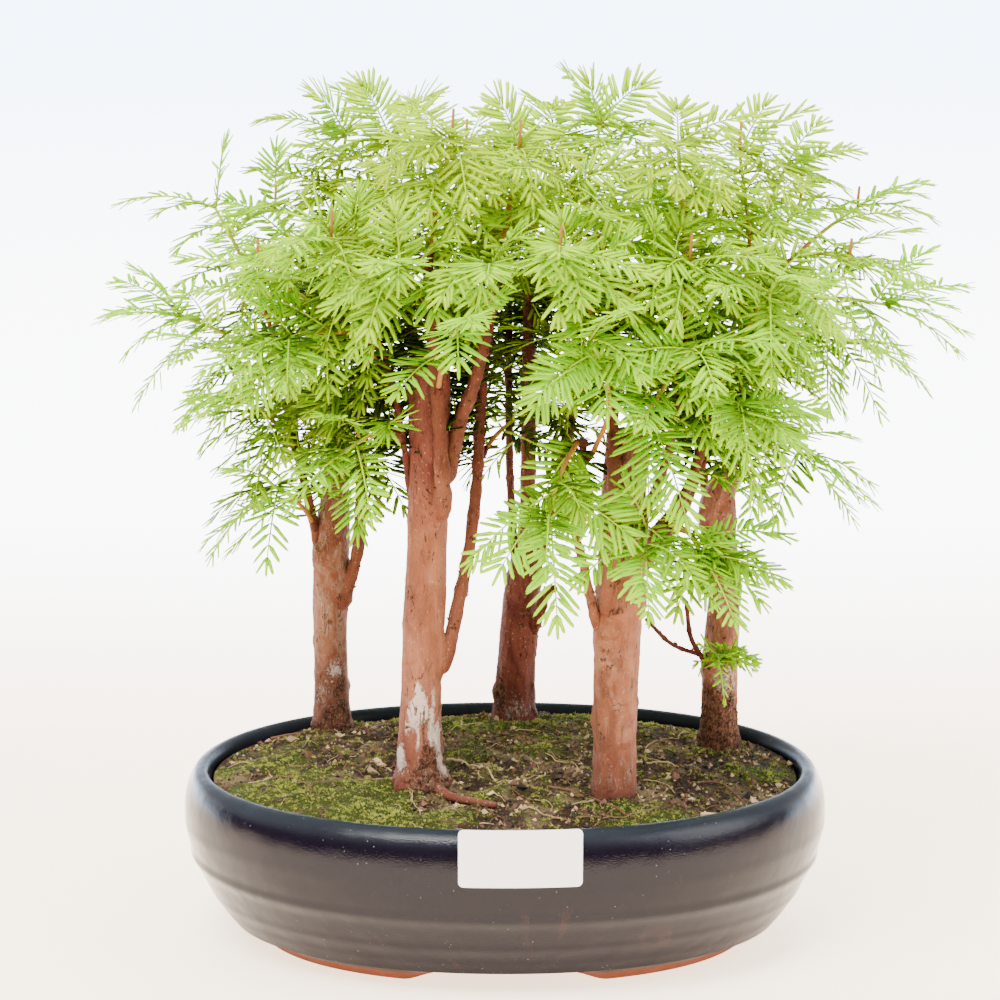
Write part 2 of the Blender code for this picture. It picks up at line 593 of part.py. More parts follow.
def make_screen(name, x):
    """A drain-hole screen: a thin square mesh plate, a grid of bars round its openings."""
    bars = np.linspace(-SCREEN_HALF, SCREEN_HALF, SCREEN_BARS + 1)
    points, faces, index = [], [], {}

    def corner(i, j, k):
        if (i, j, k) not in index:
            index[i, j, k] = len(points)
            points.append((x + bars[i], bars[j], FLOOR_Z + GAP + SCREEN_THICK * k))
        return index[i, j, k]

    odd = range(1, SCREEN_BARS, 2)
    open_cells = {(i, j) for i in odd for j in odd}
    for i in range(SCREEN_BARS):
        for j in range(SCREEN_BARS):
            if (i, j) in open_cells:
                continue
            faces.append([corner(i, j, 1), corner(i + 1, j, 1), corner(i + 1, j + 1, 1), corner(i, j + 1, 1)])
            faces.append([corner(i, j, 0), corner(i, j + 1, 0), corner(i + 1, j + 1, 0), corner(i + 1, j, 0)])
            for di, dj, p, q in ((-1, 0, (i, j + 1), (i, j)), (1, 0, (i + 1, j), (i + 1, j + 1)),
                                 (0, -1, (i, j), (i + 1, j)), (0, 1, (i + 1, j + 1), (i, j + 1))):
                there = (i + di, j + dj)
                if there in open_cells or not (0 <= min(there) and max(there) < SCREEN_BARS):
                    faces.append([corner(*p, 0), corner(*q, 0), corner(*q, 1), corner(*p, 1)])
    add_object(name, points, faces, material(name, "screen_plastic"))


def make_label():
    """A blank label: a thin plate that follows the tray's bulge across and stands straight up."""
    x = np.linspace(*LABEL_X, LABEL_STATIONS)
    outer, inner = [], []
    for plate, extra in ((inner, GAP), (outer, GAP + LABEL_THICK)):
        y = -(TRAY_B + extra) * (1 - np.abs(x / (TRAY_A + extra)) ** TRAY_FULLNESS) ** (1 / TRAY_FULLNESS)
        low = np.column_stack([x, y, np.full(len(x), LABEL_Z[0])])
        high = np.column_stack([x, y, np.full(len(x), LABEL_Z[1])])
        low[[0, -1], 2] += LABEL_CORNER
        high[[0, -1], 2] -= LABEL_CORNER
        plate += [low, high]
    rings = np.stack([inner[0], inner[1], outer[1], outer[0]], axis=1)
    add_object("label", *rings_solid(rings), material("label_paper", "label_paper"))


def make_tree(name, wood):
    """One tree: its trunk, limbs and twigs joined into one solid, with a root on the second one."""
    trunk = np.array(TREES[name]["trunk"], float)
    tree = add_object(name, *tube(trunk[:, :3], trunk[:, 3], TRUNK_SIDES),
                      material(name + "_bark", "bark"))
    others = []
    for path, radii in wood:
        sides = TWIG_SIDES if len(path) == TWIG_POINTS else LIMB_SIDES
        others.append(add_object("wood", *tube(path, radii, sides)))
    if name == "tree_2":
        walk = np.array(ROOT_WALK, float)
        radii = np.linspace(*ROOT_R, len(walk))
        heights = soil_height(walk[:, 0], walk[:, 1]) + radii + ROOT_FREE
        others.append(add_object("root", *tube(np.column_stack([walk, heights]), radii, LIMB_SIDES)))
    combine(tree, others, "UNION")


def make_shoot(index, shoot):
    """One leafy shoot: its stem, a gap beyond its twig, with its fronds joined to it."""
    path = shoot["path"].copy()
    path[0] += unit(path[1] - path[0]) * GAP
    name = f"{shoot['tree']}_shoot_{index:02d}"
    stem = add_object(name, *tube(path, np.linspace(*SHOOT_R, len(path)), 3),
                      material(name + "_leaf", "leaf"))
    fronds = [add_object("frond", *frond_solid(frond)) for frond in shoot["fronds"]]
    if fronds:
        combine(stem, fronds, "UNION")


def shade():
    """Shades every round piece smooth, with its sharp edges kept, and leaves the leaflets flat."""
    for made in bpy.data.objects:
        if "shoot" not in made.name:
            made.data.shade_smooth()
            made.data.set_sharp_from_angle(angle=SHARP)


def centre_footprint():
    """Moves every mesh so that the middle of the footprint, at the lowest point, is the origin."""
    corners = np.array([vertex.co for made in bpy.data.objects for vertex in made.data.vertices])
    low, high = corners.min(axis=0), corners.max(axis=0)
    shift = -np.array([(low[0] + high[0]) / 2, (low[1] + high[1]) / 2, low[2]])
    for made in bpy.data.objects:
        for vertex in made.data.vertices:
            vertex.co = [c + d for c, d in zip(vertex.co, shift)]


def main():
    for old in list(bpy.data.objects):
        bpy.data.objects.remove(old, do_unlink=True)
    wood, shoots = grow()
    make_tray()
    make_soil()
    make_screen("drain_screen_left", -DRAIN_X)
    make_screen("drain_screen_right", DRAIN_X)
    make_label()
    for name in TREES:
        make_tree(name, wood[name])
    for index, shoot in enumerate(shoots):
        make_shoot(index + 1, shoot)
    shade()
    centre_footprint()


main()
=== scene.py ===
"""Dawn redwood bonsai forest: fine foliage, bark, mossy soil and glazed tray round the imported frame.

Lengths are in millimetres from the middle of the tray, and become metres of the row frame when a
mesh is made. The forest grows by the same rules and the same draws as the part's solids, so each
fine shoot lies on the solid shoot that it replaces.
"""

import bpy
import numpy as np
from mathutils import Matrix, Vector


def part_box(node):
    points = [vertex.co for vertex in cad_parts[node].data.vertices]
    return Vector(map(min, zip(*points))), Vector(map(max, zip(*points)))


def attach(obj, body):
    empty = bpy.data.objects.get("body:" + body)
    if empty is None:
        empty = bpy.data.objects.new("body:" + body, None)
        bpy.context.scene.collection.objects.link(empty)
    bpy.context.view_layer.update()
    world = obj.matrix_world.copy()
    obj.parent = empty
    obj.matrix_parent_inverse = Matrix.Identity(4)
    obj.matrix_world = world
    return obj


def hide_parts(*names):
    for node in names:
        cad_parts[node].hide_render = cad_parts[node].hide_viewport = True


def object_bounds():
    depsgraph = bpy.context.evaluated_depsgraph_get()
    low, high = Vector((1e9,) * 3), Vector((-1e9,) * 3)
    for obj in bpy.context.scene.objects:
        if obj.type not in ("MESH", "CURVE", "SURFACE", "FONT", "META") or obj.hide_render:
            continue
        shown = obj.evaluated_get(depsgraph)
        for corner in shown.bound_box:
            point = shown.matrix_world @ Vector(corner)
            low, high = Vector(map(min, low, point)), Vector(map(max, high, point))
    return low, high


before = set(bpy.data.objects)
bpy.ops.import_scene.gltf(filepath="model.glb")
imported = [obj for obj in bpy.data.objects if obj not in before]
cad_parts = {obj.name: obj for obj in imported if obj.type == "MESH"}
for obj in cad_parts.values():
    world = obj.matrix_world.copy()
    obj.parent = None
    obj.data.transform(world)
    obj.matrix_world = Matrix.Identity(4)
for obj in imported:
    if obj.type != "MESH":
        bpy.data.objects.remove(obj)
cad_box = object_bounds()

MM = 0.001
SEED = 11  # as in the solids
GAP = 0.3  # left between the tray and what touches it
UP = np.array([0.0, 0.0, 1.0])
TRAY_LOW, TRAY_HIGH = (np.array(corner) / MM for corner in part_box("tray"))
MIDDLE = np.array([*(TRAY_LOW + TRAY_HIGH)[:2] / 2, 0.0])  # of the tray, in the row frame
ROOM_LOW, ROOM_HIGH = np.array([tuple(c) for c in cad_box]) / MM - MIDDLE  # box of the whole frame
ROOM_SPARE, NEEDLE_ROOM = 4.0, 8.0  # how far leaves may stand outside that box, and past a rib's line

# Tray
TRAY_A, TRAY_B = (TRAY_HIGH - TRAY_LOW)[:2] / 2  # half its length and half its depth
TRAY_FULLNESS = 2.1  # the power n of its oval |x/a|^n + |y/b|^n = 1
# The solid's widest ring, the crest of its rim and the rim's inner edge: heights, and insets from that ring
BULGE_Z = 62.0
CREST_Z, CREST_INSET = 75.0, 6.5
LIP_Z, LIP_INSET = 69.0, 12.6
FLOOR_Z, UNDER_Z = 12.0, 5.0
FOOT_LIFT = 4.4  # height of the arches between the feet
FOOT_IN, FOOT_IN_INNER = 34.5, 43.0  # insets of the foot ring's two edges
FOOT_MIDDLES = (42.0, 138.0, 222.0, 318.0)  # degrees round the tray
FOOT_HALF_SPAN, ARCH_SPAN = 25.0, 9.0
WALL_FOOT = (25.0, 8.4)  # inset and height where the wall begins
WALL_HOLLOW, WALL_CURVE = 21.5, 1.9  # how far the wall runs in towards its foot, and the power it does so by
# Rings of the tray's inside below the rim: inset, height
INSIDE = [(13.4, 60.0), (16.0, 40.0), (20.0, 24.0), (27.0, 14.5), (34.0, FLOOR_Z), (60.0, FLOOR_Z)]
# Throwing ridges: height on the wall, how far they stand out, and how soft they are below and above
WALL_RIDGES = ((53.0, 0.3, 3.6, 2.6), (38.5, 1.05, 3.6, 1.9),
               (23.0, 0.3, 3.0, 2.0), (14.5, 0.12, 2.2, 2.0))
RIDGE_WANDER = 1.6  # how far a ridge's height strays on its way round
# How far the wall's widest ring lies below the solid tray's, and the rim's crest inside and above its
BELLY_DROP, CREST_IN, CREST_UP = 3.0, 2.2, 1.9
DRAIN_X, DRAIN_R = 46.0, 8.0  # two drain holes, to the left and right of the middle
CLAY_LINE = 5.2  # the glaze stops at this height above the feet

# Soil: height of its edge, how much higher its middle stands, and the edge's inset
SOIL_EDGE_Z, SOIL_CROWN, SOIL_INSET = 71.5, 6.0, 13.4
SOIL_BODY = [(34.5, FLOOR_Z + GAP), (16.5, 40.2), (SOIL_INSET - 0.3, SOIL_EDGE_Z - 2.5)]  # insets, heights
SWELL, SWELL_REACH = 1.6, 18.0  # how the soil rises to a trunk
LUMPS = (0.7, 0.5)  # heights of two waves in it
# How many places are tried for moss and for crumbs, and the half width of a moss leaf
MOSS_TRIES, CRUMB_TRIES, MOSS_LEAF = 17500, 6500, 0.29
ROOTLETS, ROOTLET_R = 460, (0.13, 0.31)  # how many are tried, and their radius
# Bright cushions of moss: x, y, reach, amount
MOSS_PATCHES = [
    (-62, -78, 20, 1.1), (-40, -88, 15, 0.9), (-98, -44, 28, 0.85), (-106, 0, 22, 0.6),
    (-62, -44, 20, 0.62), (-84, 40, 22, 0.45), (-18, 60, 16, 0.6), (30, 84, 13, 1.15), (20, 44, 14, 0.5),
    (66, -78, 14, 0.85), (52, -84, 10, 0.7), (100, 48, 15, 0.8), (114, -12, 13, 0.8), (14, 10, 14, 0.5),
    (-20, 20, 20, 0.45), (60, 40, 14, 0.5), (-8, -60, 10, 0.45), (-70, 84, 14, 0.6), (70, 76, 12, 0.6),
    (-48, 86, 9, 1.1), (14, 56, 9, 1.0)
]

# Roots and straws that run over the soil: places, radius, tone from rust to straw
RUNNERS = [
    ([(84, -70), (98, -67), (112, -62)], 0.9, 0.95),
    ([(19, -45), (28, -52), (37, -60), (47, -70), (56, -80)], 0.7, 0.55),
    ([(52, -14), (60, -8), (70, -5), (84, -6)], 0.55, 0.85),
    ([(-109, 54), (-100, 58), (-91, 55)], 0.9, 0.5),
    ([(-26, 2), (-16, -8), (-8, -22), (-4, -34)], 0.6, 0.8),
    ([(-104, -24), (-92, -30), (-84, -44)], 0.6, 0.5),
    ([(66, -66), (58, -74), (44, -80), (30, -82)], 0.5, 0.6),
    ([(4, -72), (16, -76), (24, -84)], 0.45, 0.75), ([(60, 20), (70, 34), (84, 40)], 0.5, 0.7),
    ([(88, -30), (98, -38), (104, -50)], 0.5, 0.55)
]

# Label
LABEL_X, LABEL_Z, LABEL_THICK = (-19.7, 32.4), (54.6, 79.6), 0.5
LABEL_ROUND = 2.2

# Shoots and fronds, as in the solids
TWIG, TWIG_R, TWIG_POINTS = 9.0, (1.5, 1.2), 3  # woody start of a shoot: length, end radii, points
LEAD, LEAD_REACH = (0.45, 0.75, 0.25), 0.45  # what limb, tip and up count for as it sets off, and how far
SHOOT_TRIES, BEND = 60, (0.02, 0.012)  # its bend's spread, and how much more with each try
SHOOT_STATIONS = 4  # points along a leafy shoot
LIMB_ROOTED = 5.0  # how far below its first point a limb's foot lies in the trunk
LIMB_FULLER = 1.16  # how much fuller than the plain solids the limbs are, with their bark
# A shoot or frond that stands this far from all others is taken, or the freest of the tries
SHOOT_FREE, FROND_FREE, FROND_TRIES = 1.5, 0.5, 70
TURN, TURN_SPREAD = 2.4, (0.10, 0.02)  # radians from frond to frond; spread, and more with each try
FROND_LIFT, END_LIFT = (50.0, 66.0), 0.9  # degrees between shoot and frond; share of it at an end
LEVEL, FLATTEN, OUTWARDS = (0.45, 0.4), 0.35, 0.22  # level shoots' fronds spread flat, and all lean out
OUT_STRETCH = np.array([1.0, 1.25, 0.0])  # what x, y and z count for in the way outwards
SIDE_SHARES, END_SHARE = (0.30, 0.90), 0.995  # where along a shoot its fronds stand
SHOOT_R = (1.15, 0.7)
FULL_SIZE_SHOOT, LONG_SHOOT = 30.0, 65.0  # shorter ones have smaller fronds, longer ones one more
FROND_LENGTH = (31.0, 42.0)
LEAFLET_LENGTH, LEAFLET_PITCH, LEAFLET_ANGLE = 13.0, 7.6, np.radians(56.0)
LEAFLET_SAG, LEAFLET_SWELL = 0.12, (0.60, 0.46)  # their length is least at a rib's ends
LEAFY, RIB_RISE, RIB_DROOP = (0.16, 0.94), 0.10, 0.30  # the stretch with leaflets, and the rib's curve

# Fine foliage
NEEDLE_PITCH, LEADER_PITCH = 2.6, 2.0
NEEDLE_WIDE, LEADER_WIDE = 1.95, 1.75
NODE_PITCH = 8.6  # from one pair of fronds to the next along a shoot
HIGH_PITCH, HIGH_SHOOT = 6.4, 300.0  # the same along a shoot that ends above this height
NODE_CLEAR = 2.0  # a node nearer than this to a frond of the solids has only one frond
NODE_FROND, WHORL_FROND = (26, 38), (24, 34)  # lengths of the fronds at the nodes and at a shoot's end
NEEDLE_ROLL = 0.2  # how far needles turn their faces outwards
FINE_TRIES = 9  # headings tried for each fine frond
OUT_OF_ROOM = 100  # a heading that leaves the room or hides bare wood counts as this much too near
LEADER_NEEDLE, SIDE_NEEDLE = 16.0, 12.5  # lengths of the needles on leaders
SIDE_X, TOP_Z = 105.0, 345.0  # where the crown's sides and its top begin
# How far leaders turn their faces from straight up to outwards: at the sides, at the top and elsewhere
SIDE_TILT, TOP_TILT, LEADER_TILT = (0.2, 0.5), (0.2, 0.6), (0.5, 1.1)
# How much brighter than their place the leaders, the other fronds and the inner sprays are; the inner
# sprays' lower value is painted shade deep in the crown
LEADER_FRESH, OTHER_FRESH, INNER_SHADE = 0.38, -0.20, -0.20
CROWD_APART = 6.5  # a fine frond that would stand nearer than this to others is left out
EDGE_APART, EDGE_X = 8.0, (88.0, 135.0)  # how much farther off it has to be by the outer of these x
INNER_APART, INNER_PITCH = 4.5, 6.0  # as CROWD_APART for sprays straight from the limbs, and their pitch
INNER_LOW = 214  # no such spray grows lower than this
FINE_DROOP = (0.22, 0.46)  # how much fine fronds droop
FRONT_DROOP = 0.38  # more for the fronds that lean out to the front
FINE_LIFT = (62.0, 88.0)  # degrees between a shoot and its fine fronds
# The crown as an ellipsoid, from whose middle outwards the leaves get brighter: painted shade inside,
# painted light outside
CROWN_MIDDLE = np.array([0.0, 5.0, 262.0])
CROWN_REACH = np.array([170.0, 140.0, 112.0])
WHORL = (-52.0, 0.0, 52.0)  # degrees from outwards of the fronds round a shoot's end
# Fronds that reach out of the crown: tip and rough root; the frond grows from the shoot nearest the root
LEADERS = [
    ((-173, 40, 326), (-147, 40, 321)), ((-168, 36, 300), (-145, 36, 292)),
    ((-179, 60, 289), (-158, 54, 277)), ((-181, 44, 272), (-160, 44, 270)),
    ((-166, 30, 260), (-145, 30, 264)), ((-159, 30, 241), (-137, 30, 250)),
    ((-142, -20, 240), (-120, -20, 247)), ((-113, 60, 362), (-88, 60, 356)),
    ((-88, 60, 378), (-70, 60, 360)), ((-66, 50, 381), (-57, 50, 358)), ((-43, -20, 376), (-30, -30, 360)),
    ((-29, 40, 378), (-40, 44, 356)), ((-4, -50, 382), (2, -48, 360)), ((16, 60, 376), (20, 66, 352)),
    ((37, 60, 380), (42, 60, 358)), ((64, 60, 379), (50, 60, 360)), ((72, -40, 376), (72, -50, 356)),
    ((113, -20, 377), (92, -20, 360)), ((138, 10, 366), (124, 4, 348)), ((153, 0, 353), (130, 0, 348)),
    ((187, 35, 331), (165, 40, 324)), ((190, 20, 310), (168, 20, 308)), ((205, 24, 290), (180, 18, 285)),
    ((198, 20, 262), (172, 16, 275)), ((188, 50, 240), (162, 60, 253)), ((155, 20, 223), (138, 10, 232)),
    ((160, 10, 196), (134, 4, 212)), ((-126, 10, 173), (-108, 20, 192)), ((20, -127, 182), (18, -106, 208)),
    ((2, -120, 196), (16, -104, 210)), ((-19, -122, 280), (-20, -103, 288)),
    ((-43, -120, 313), (-43, -100, 314)), ((-10, -121, 310), (-6, -98, 314)),
    ((15, -122, 316), (22, -106, 320)), ((-28, -94, 295), (-35, -71, 298)),
    ((-53, -85, 296), (-61, -62, 297)), ((-69, -92, 307), (-67, -69, 313)),
    ((-103, -66, 304), (-105, -44, 304)), ((-66, -70, 275), (-66, -49, 280)),
    ((-82, -15, 243), (-71, 8, 240)), ((-72, -16, 232), (-71, 8, 240)), ((-142, 20, 228), (-114, 20, 237)),
    ((-107, -57, 281), (-89, -46, 296)), ((-85, -85, 269), (-86, -67, 281)),
    ((-49, -72, 246), (-49, -53, 237)), ((-102, -73, 259), (-87, -67, 280)),
    ((-122, 45, 167), (-96, 44, 189)), ((-66, 31, 182), (-66, 51, 203)), ((-77, 21, 204), (-66, 41, 215)),
    ((-111, 43, 203), (-100, 51, 215)), ((17, -85, 216), (30, -80, 237)),
    ((48, -103, 204), (21, -100, 220)), ((56, -106, 184), (58, -89, 196)), ((78, -97, 183), (81, -79, 192)),
    ((98, -87, 186), (80, -77, 193)), ((119, -73, 197), (79, -74, 195)), ((49, -84, 224), (59, -78, 200)),
    ((70, -97, 217), (59, -75, 249)), ((59, -91, 224), (59, -75, 249)), ((95, -114, 249), (95, -93, 256)),
    ((130, -93, 253), (96, -94, 256)), ((118, -73, 237), (76, -71, 256)), ((130, -2, 216), (121, 10, 225)),
    ((111, -53, 292), (105, -29, 305)), ((144, 8, 271), (133, 21, 283)), ((64, -97, 313), (76, -82, 313)),
    ((61, -66, 319), (40, -62, 318)), ((62, -58, 270), (99, -52, 275)), ((40, -109, 275), (75, -102, 280)),
    ((123, -58, 264), (99, -52, 275)), ((119, -57, 281), (100, -54, 277)), ((32, -97, 276), (36, -77, 290)),
    ((16, -121, 262), (37, -106, 279)), ((41, -115, 259), (40, -99, 271)),
    ((53, -101, 254), (65, -84, 260)), ((24, -122, 318), (22, -106, 320)), ((112, -18, 322), (116, 1, 328)),
    ((-41, -74, 342), (-25, -62, 348)), ((-2, -62, 348), (6, -48, 356)), ((56, -68, 350), (28, -57, 342)),
    ((87, -71, 339), (73, -58, 348)), ((-21, -82, 328), (-27, -61, 340)), ((43, -79, 327), (34, -60, 331)),
    ((147, -26, 317), (137, -14, 308)), ((-82, -83, 334), (-72, -74, 322)),
    ((-124, 31, 317), (-129, 49, 319))
]
# Where bare wood shows between the sprays: x from and to, z from and to, and the wood's y
OPEN_VIEWS = [
    (-90, -68, 80, 178, 60), (-47, -21, 140, 271, -48), (-28, -2, 215, 256, -44), (-18, -2, 140, 226, -40),
    (-54, -40, 206, 232, -46), (-8, 24, 76, 156, 66), (-3, 12, 194, 270, 60), (39, 57, 206, 244, -56),
    (39, 57, 110, 186, -56), (60, 80, 187, 225, -40), (89, 107, 127, 151, 24), (90, 108, 76, 112, 24)
]
OPEN_MARGIN = 7.0  # how far fronds keep off such a view, at its sides and its top
# The tuft low on the fifth tree: shoots that end below this height carry it
TUFT_Z, TUFT_FRONDS, TUFT_LENGTH, TUFT_NEEDLE = 132.0, 9, (9.0, 15.0), 8.0
GOLDEN = np.pi * (3 - np.sqrt(5))

# Trunks: stations (x, y, z, radius); limbs: end radii, points, shoots (share, x, y, z)
TREES = {
    "tree_1": {
        "trunk": [(-81, 66, 46, 9.0), (-81, 66, 75, 9.4), (-81, 65, 84, 8.3), (-81, 64, 137, 8.1),
                  (-80, 64, 166, 8.0), (-78, 64, 192, 6.6), (-77, 64, 214, 6.0)],
        "limbs": [
            ((2.1, 1.3), [(-86, 62, 166), (-94, 60, 201), (-98, 60, 227), (-101, 60, 246)],
             [(1.0, -130, 48, 321), (0.9, -144, 36, 273), (0.72, -134, 84, 252), (0.5, -114, 20, 237),
              (0.12, -103, 34, 196)]),
            ((2.9, 1.8), [(-75, 62, 140), (-68, 58, 161), (-66, 56, 190), (-65, 56, 245), (-65, 56, 260)],
             [(1.0, -51, 46, 352), (0.9, -73, 118, 298), (0.5, -71, 8, 240)]),
            ((2.6, 1.6), [(-77, 66, 210), (-80, 70, 249), (-83, 74, 276)],
             [(1.0, -72, 68, 351), (0.75, -107, 104, 314)]),
        ],
    },
    "tree_2": {
        "trunk": [(-37, -40, 46, 10.4), (-37, -40, 77, 11.6), (-37, -41, 90, 10.0), (-36, -42, 128, 9.0),
                  (-34, -42, 180, 8.6), (-33, -42, 232, 8.6), (-33, -42, 265, 9.4)],
        "limbs": [
            ((3.0, 2.0), [(-27, -49, 206), (-27, -54, 223), (-29, -56, 258), (-31, -58, 286),
                          (-32, -60, 307)],
             [(1.0, -22, -62, 362), (0.8, -43, -100, 314), (0.5, -19, -106, 290)]),
            ((3.0, 2.0), [(-25, -42, 219), (-20, -44, 238), (-14, -46, 255), (-9, -48, 274),
                          (-2, -50, 310)],
             [(1.0, 6, -48, 356), (0.75, -6, -100, 314)]),
            ((2.7, 1.8), [(-26, -42, 137), (-20, -40, 161), (-15, -36, 186), (-12, -32, 215),
                          (-10, -28, 251),
                          (-7, -26, 277)],
             [(1.0, -2, -8, 329), (0.62, 7, -8, 236)]),
            ((1.5, 1.2), [(-40, -42, 205), (-43, -46, 228), (-47, -50, 253), (-52, -54, 271),
                          (-57, -58, 286)],
             [(1.0, -72, -74, 322), (0.85, -90, -68, 280), (0.4, -67, -72, 232), (0.7, -105, -44, 304)]),
            ((2.0, 1.4), [(-36, -36, 261), (-40, -30, 273), (-43, -24, 294)],
             [(1.0, -46, 2, 334)]),
        ],
    },
    "tree_3": {
        "trunk": [(5, 72, 46, 10.0), (5, 72, 77, 10.2), (5, 71, 88, 9.3), (7, 70, 126, 8.7),
                  (9, 70, 146, 8.4),
                  (10, 70, 156, 6.4)],
        "limbs": [
            ((3.9, 2.0), [(10, 70, 150), (11, 70, 206), (11, 70, 249), (11, 70, 290)],
             [(1.0, 23, 74, 351), (0.7, 19, 130, 276)]),
            ((1.9, 1.3), [(6, 72, 147), (3, 80, 181), (2, 84, 218), (2, 88, 279)],
             [(1.0, -18, 98, 342), (0.7, -35, 124, 292)]),
            ((2.9, 2.0), [(13, 70, 150), (26, 66, 198), (32, 64, 240), (33, 62, 295)],
             [(1.0, 43, 60, 357), (0.75, 68, 114, 318)]),
            ((2.2, 1.7), [(11, 68, 118), (16, 60, 131), (19, 56, 142), (23, 52, 145)], []),
        ],
    },
    "tree_4": {
        "trunk": [(47, -49, 46, 10.0), (47, -49, 75, 10.0), (47, -50, 88, 9.4), (48, -50, 126, 9.4),
                  (49, -50, 153, 9.8), (50, -50, 198, 9.4), (52, -50, 237, 8.8)],
        "limbs": [
            ((2.8, 2.0), [(44, -58, 165), (45, -61, 186), (46, -62, 228), (45, -64, 252), (46, -64, 299)],
             [(1.0, 28, -57, 342), (0.93, 76, -82, 313), (0.8, 22, -106, 320), (0.5, 75, -102, 280)]),
            ((1.9, 1.3), [(40, -54, 153), (36, -60, 169), (32, -66, 187), (29, -70, 203), (33, -72, 236)],
             [(1.0, 18, -104, 213), (0.9, 34, -112, 286)]),
            ((2.3, 1.6), [(56, -50, 181), (65, -48, 193), (79, -42, 212), (88, -38, 240), (104, -32, 278)],
             [(1.0, 100, -22, 352), (0.75, 110, -96, 306), (0.2, 82, -84, 190)]),
            ((2.2, 1.5), [(56, -44, 173), (74, -30, 192), (87, -16, 219), (93, -8, 235), (97, 0, 260)],
             [(1.0, 121, 0, 343)]),
            ((2.0, 1.4), [(54, -50, 190), (63, -56, 210), (70, -62, 236), (75, -70, 281)],
             [(1.0, 72, -54, 360), (0.7, 96, -94, 256), (0.15, 58, -90, 196)]),
        ],
    },
    "tree_5": {
        "trunk": [(98, 29, 46, 9.2), (98, 29, 75, 9.6), (98, 28, 90, 8.4), (98, 28, 116, 8.0),
                  (99, 28, 157, 7.0), (95, 28, 186, 7.8), (100, 28, 205, 6.2)],
        "limbs": [
            ((2.7, 1.7), [(100, 28, 201), (104, 28, 224), (108, 28, 253), (112, 28, 278), (114, 28, 291)],
             [(1.0, 131, 30, 326), (0.9, 158, 44, 322), (0.78, 166, 10, 283), (0.6, 158, 74, 257),
              (0.95, 147, -32, 308), (0.3, 130, 0, 218)]),
            ((2.0, 1.4), [(94, 34, 181), (89, 46, 206), (86, 56, 232), (85, 62, 264)],
             [(1.0, 86, 98, 318), (0.6, 134, 110, 262)]),
            ((1.4, 0.9), [(93, 22, 115), (88, 14, 123), (83, 8, 134), (81, 4, 150)],
             [(0.3, 96, 4, 125)]),
            ((1.1, 0.8), [(90, 20, 121), (75, 10, 129), (63, 4, 142)], []),
        ],
    },
}
# Surface root of the second tree: places, and radii at its ends
ROOT_WALK = [(-33, -46), (-24, -58), (-14, -64), (-4, -67)]
ROOT_R = (2.6, 1.5)

# Bark: how red and how grey each trunk is, and its patches (height, degrees from the front, height
# and angle of the patch, amount) of white lime and of dark crust
BARK = {
    "tree_1": {
        "red": 0.45, "grey": 0.55,
        "white": [(104, 20, 9, 40, 0.7), (92, -30, 8, 30, 0.5), (128, -30, 22, 22, 0.3)],
        "dark": [
            (84, 25, 11, 80, 0.8), (97, 35, 9, 34, 0.8), (76, 0, 9, 180, 0.7), (162, -50, 7, 40, 0.5),
            (152, 60, 9, 34, 0.6), (146, 0, 5, 20, 0.35)
        ],
    },
    "tree_2": {
        "red": 0.45, "grey": 0.12,
        "white": [
            (123, -9, 5, 12, 1.2), (118, -6, 5, 20, 1.5), (113, -16, 7, 22, 1.4), (114, 10, 7, 14, 1.4),
            (119, 38, 5, 10, 0.9), (112, 34, 7, 12, 1.0), (106, -38, 4, 10, 0.9), (103, -6, 8, 8, 0.9),
            (103, 30, 7, 14, 1.2), (100, 54, 9, 16, 1.3), (92, -60, 7, 18, 1.3), (88, -40, 4, 8, 0.7),
            (88, 60, 8, 16, 1.2), (92, -2, 5, 6, 0.6), (86, 14, 7, 5, 0.9), (98, 200, 14, 60, 0.5)
        ],
        "dark": [
            (81, 22, 10, 44, 1.7), (90, 24, 10, 28, 1.2), (107, 8, 9, 3.5, 1.4), (110, -4, 3, 12, 0.5),
            (97, 20, 8, 8, 0.8), (77, 60, 5, 50, 0.9), (80, -70, 5, 30, 0.6), (80, 180, 6, 80, 0.6),
            (206, 44, 8, 22, 0.55), (139, 80, 8, 26, 0.5)
        ],
    },
    "tree_3": {
        "red": 0.95, "grey": 0.1,
        "white": [(86, 0, 8, 70, 0.5)],
        "dark": [(90, -50, 12, 26, 0.8), (104, 10, 8, 22, 0.4), (128, 0, 30, 180, 0.3)],
    },
    "tree_4": {
        "red": 0.36, "grey": 0.38,
        "white": [(84, 0, 8, 90, 0.2), (122, -20, 30, 40, 0.15)],
        "dark": [
            (150, 30, 10, 40, 0.3), (163, -14, 8, 50, 0.45), (133, 34, 5, 16, 0.4), (143, -30, 4, 22, 0.3),
            (118, 50, 6, 14, 0.3), (80, -30, 6, 40, 0.3), (78, 40, 5, 30, 0.35)
        ],
    },
    "tree_5": {
        "red": 0.28, "grey": 0.42,
        "white": [(108, 10, 10, 70, 0.6), (100, 50, 8, 40, 0.5)],
        "dark": [(90, 0, 15, 180, 1.0), (76, 0, 12, 180, 1.0), (103, -40, 8, 60, 0.7)],
    },
}
# Extra red round a trunk's foot: height, reach, amount; and painted shade of the crown below its top, drawn
# as
# # extra dark rust: where it starts, over what length it grows, amount
FOOT_RED, TOP_PAINTED_SHADE = (75.0, 28.0, 0.42), (76.0, 30.0, 0.52)
SCARS = 26  # small scattered scars on a trunk
TOP_RINGS = ((0.93, 0.15), (0.86, 0.5), (0.6, 0.3), (0.3, 0.6))  # rings of a sawn top: share, drop
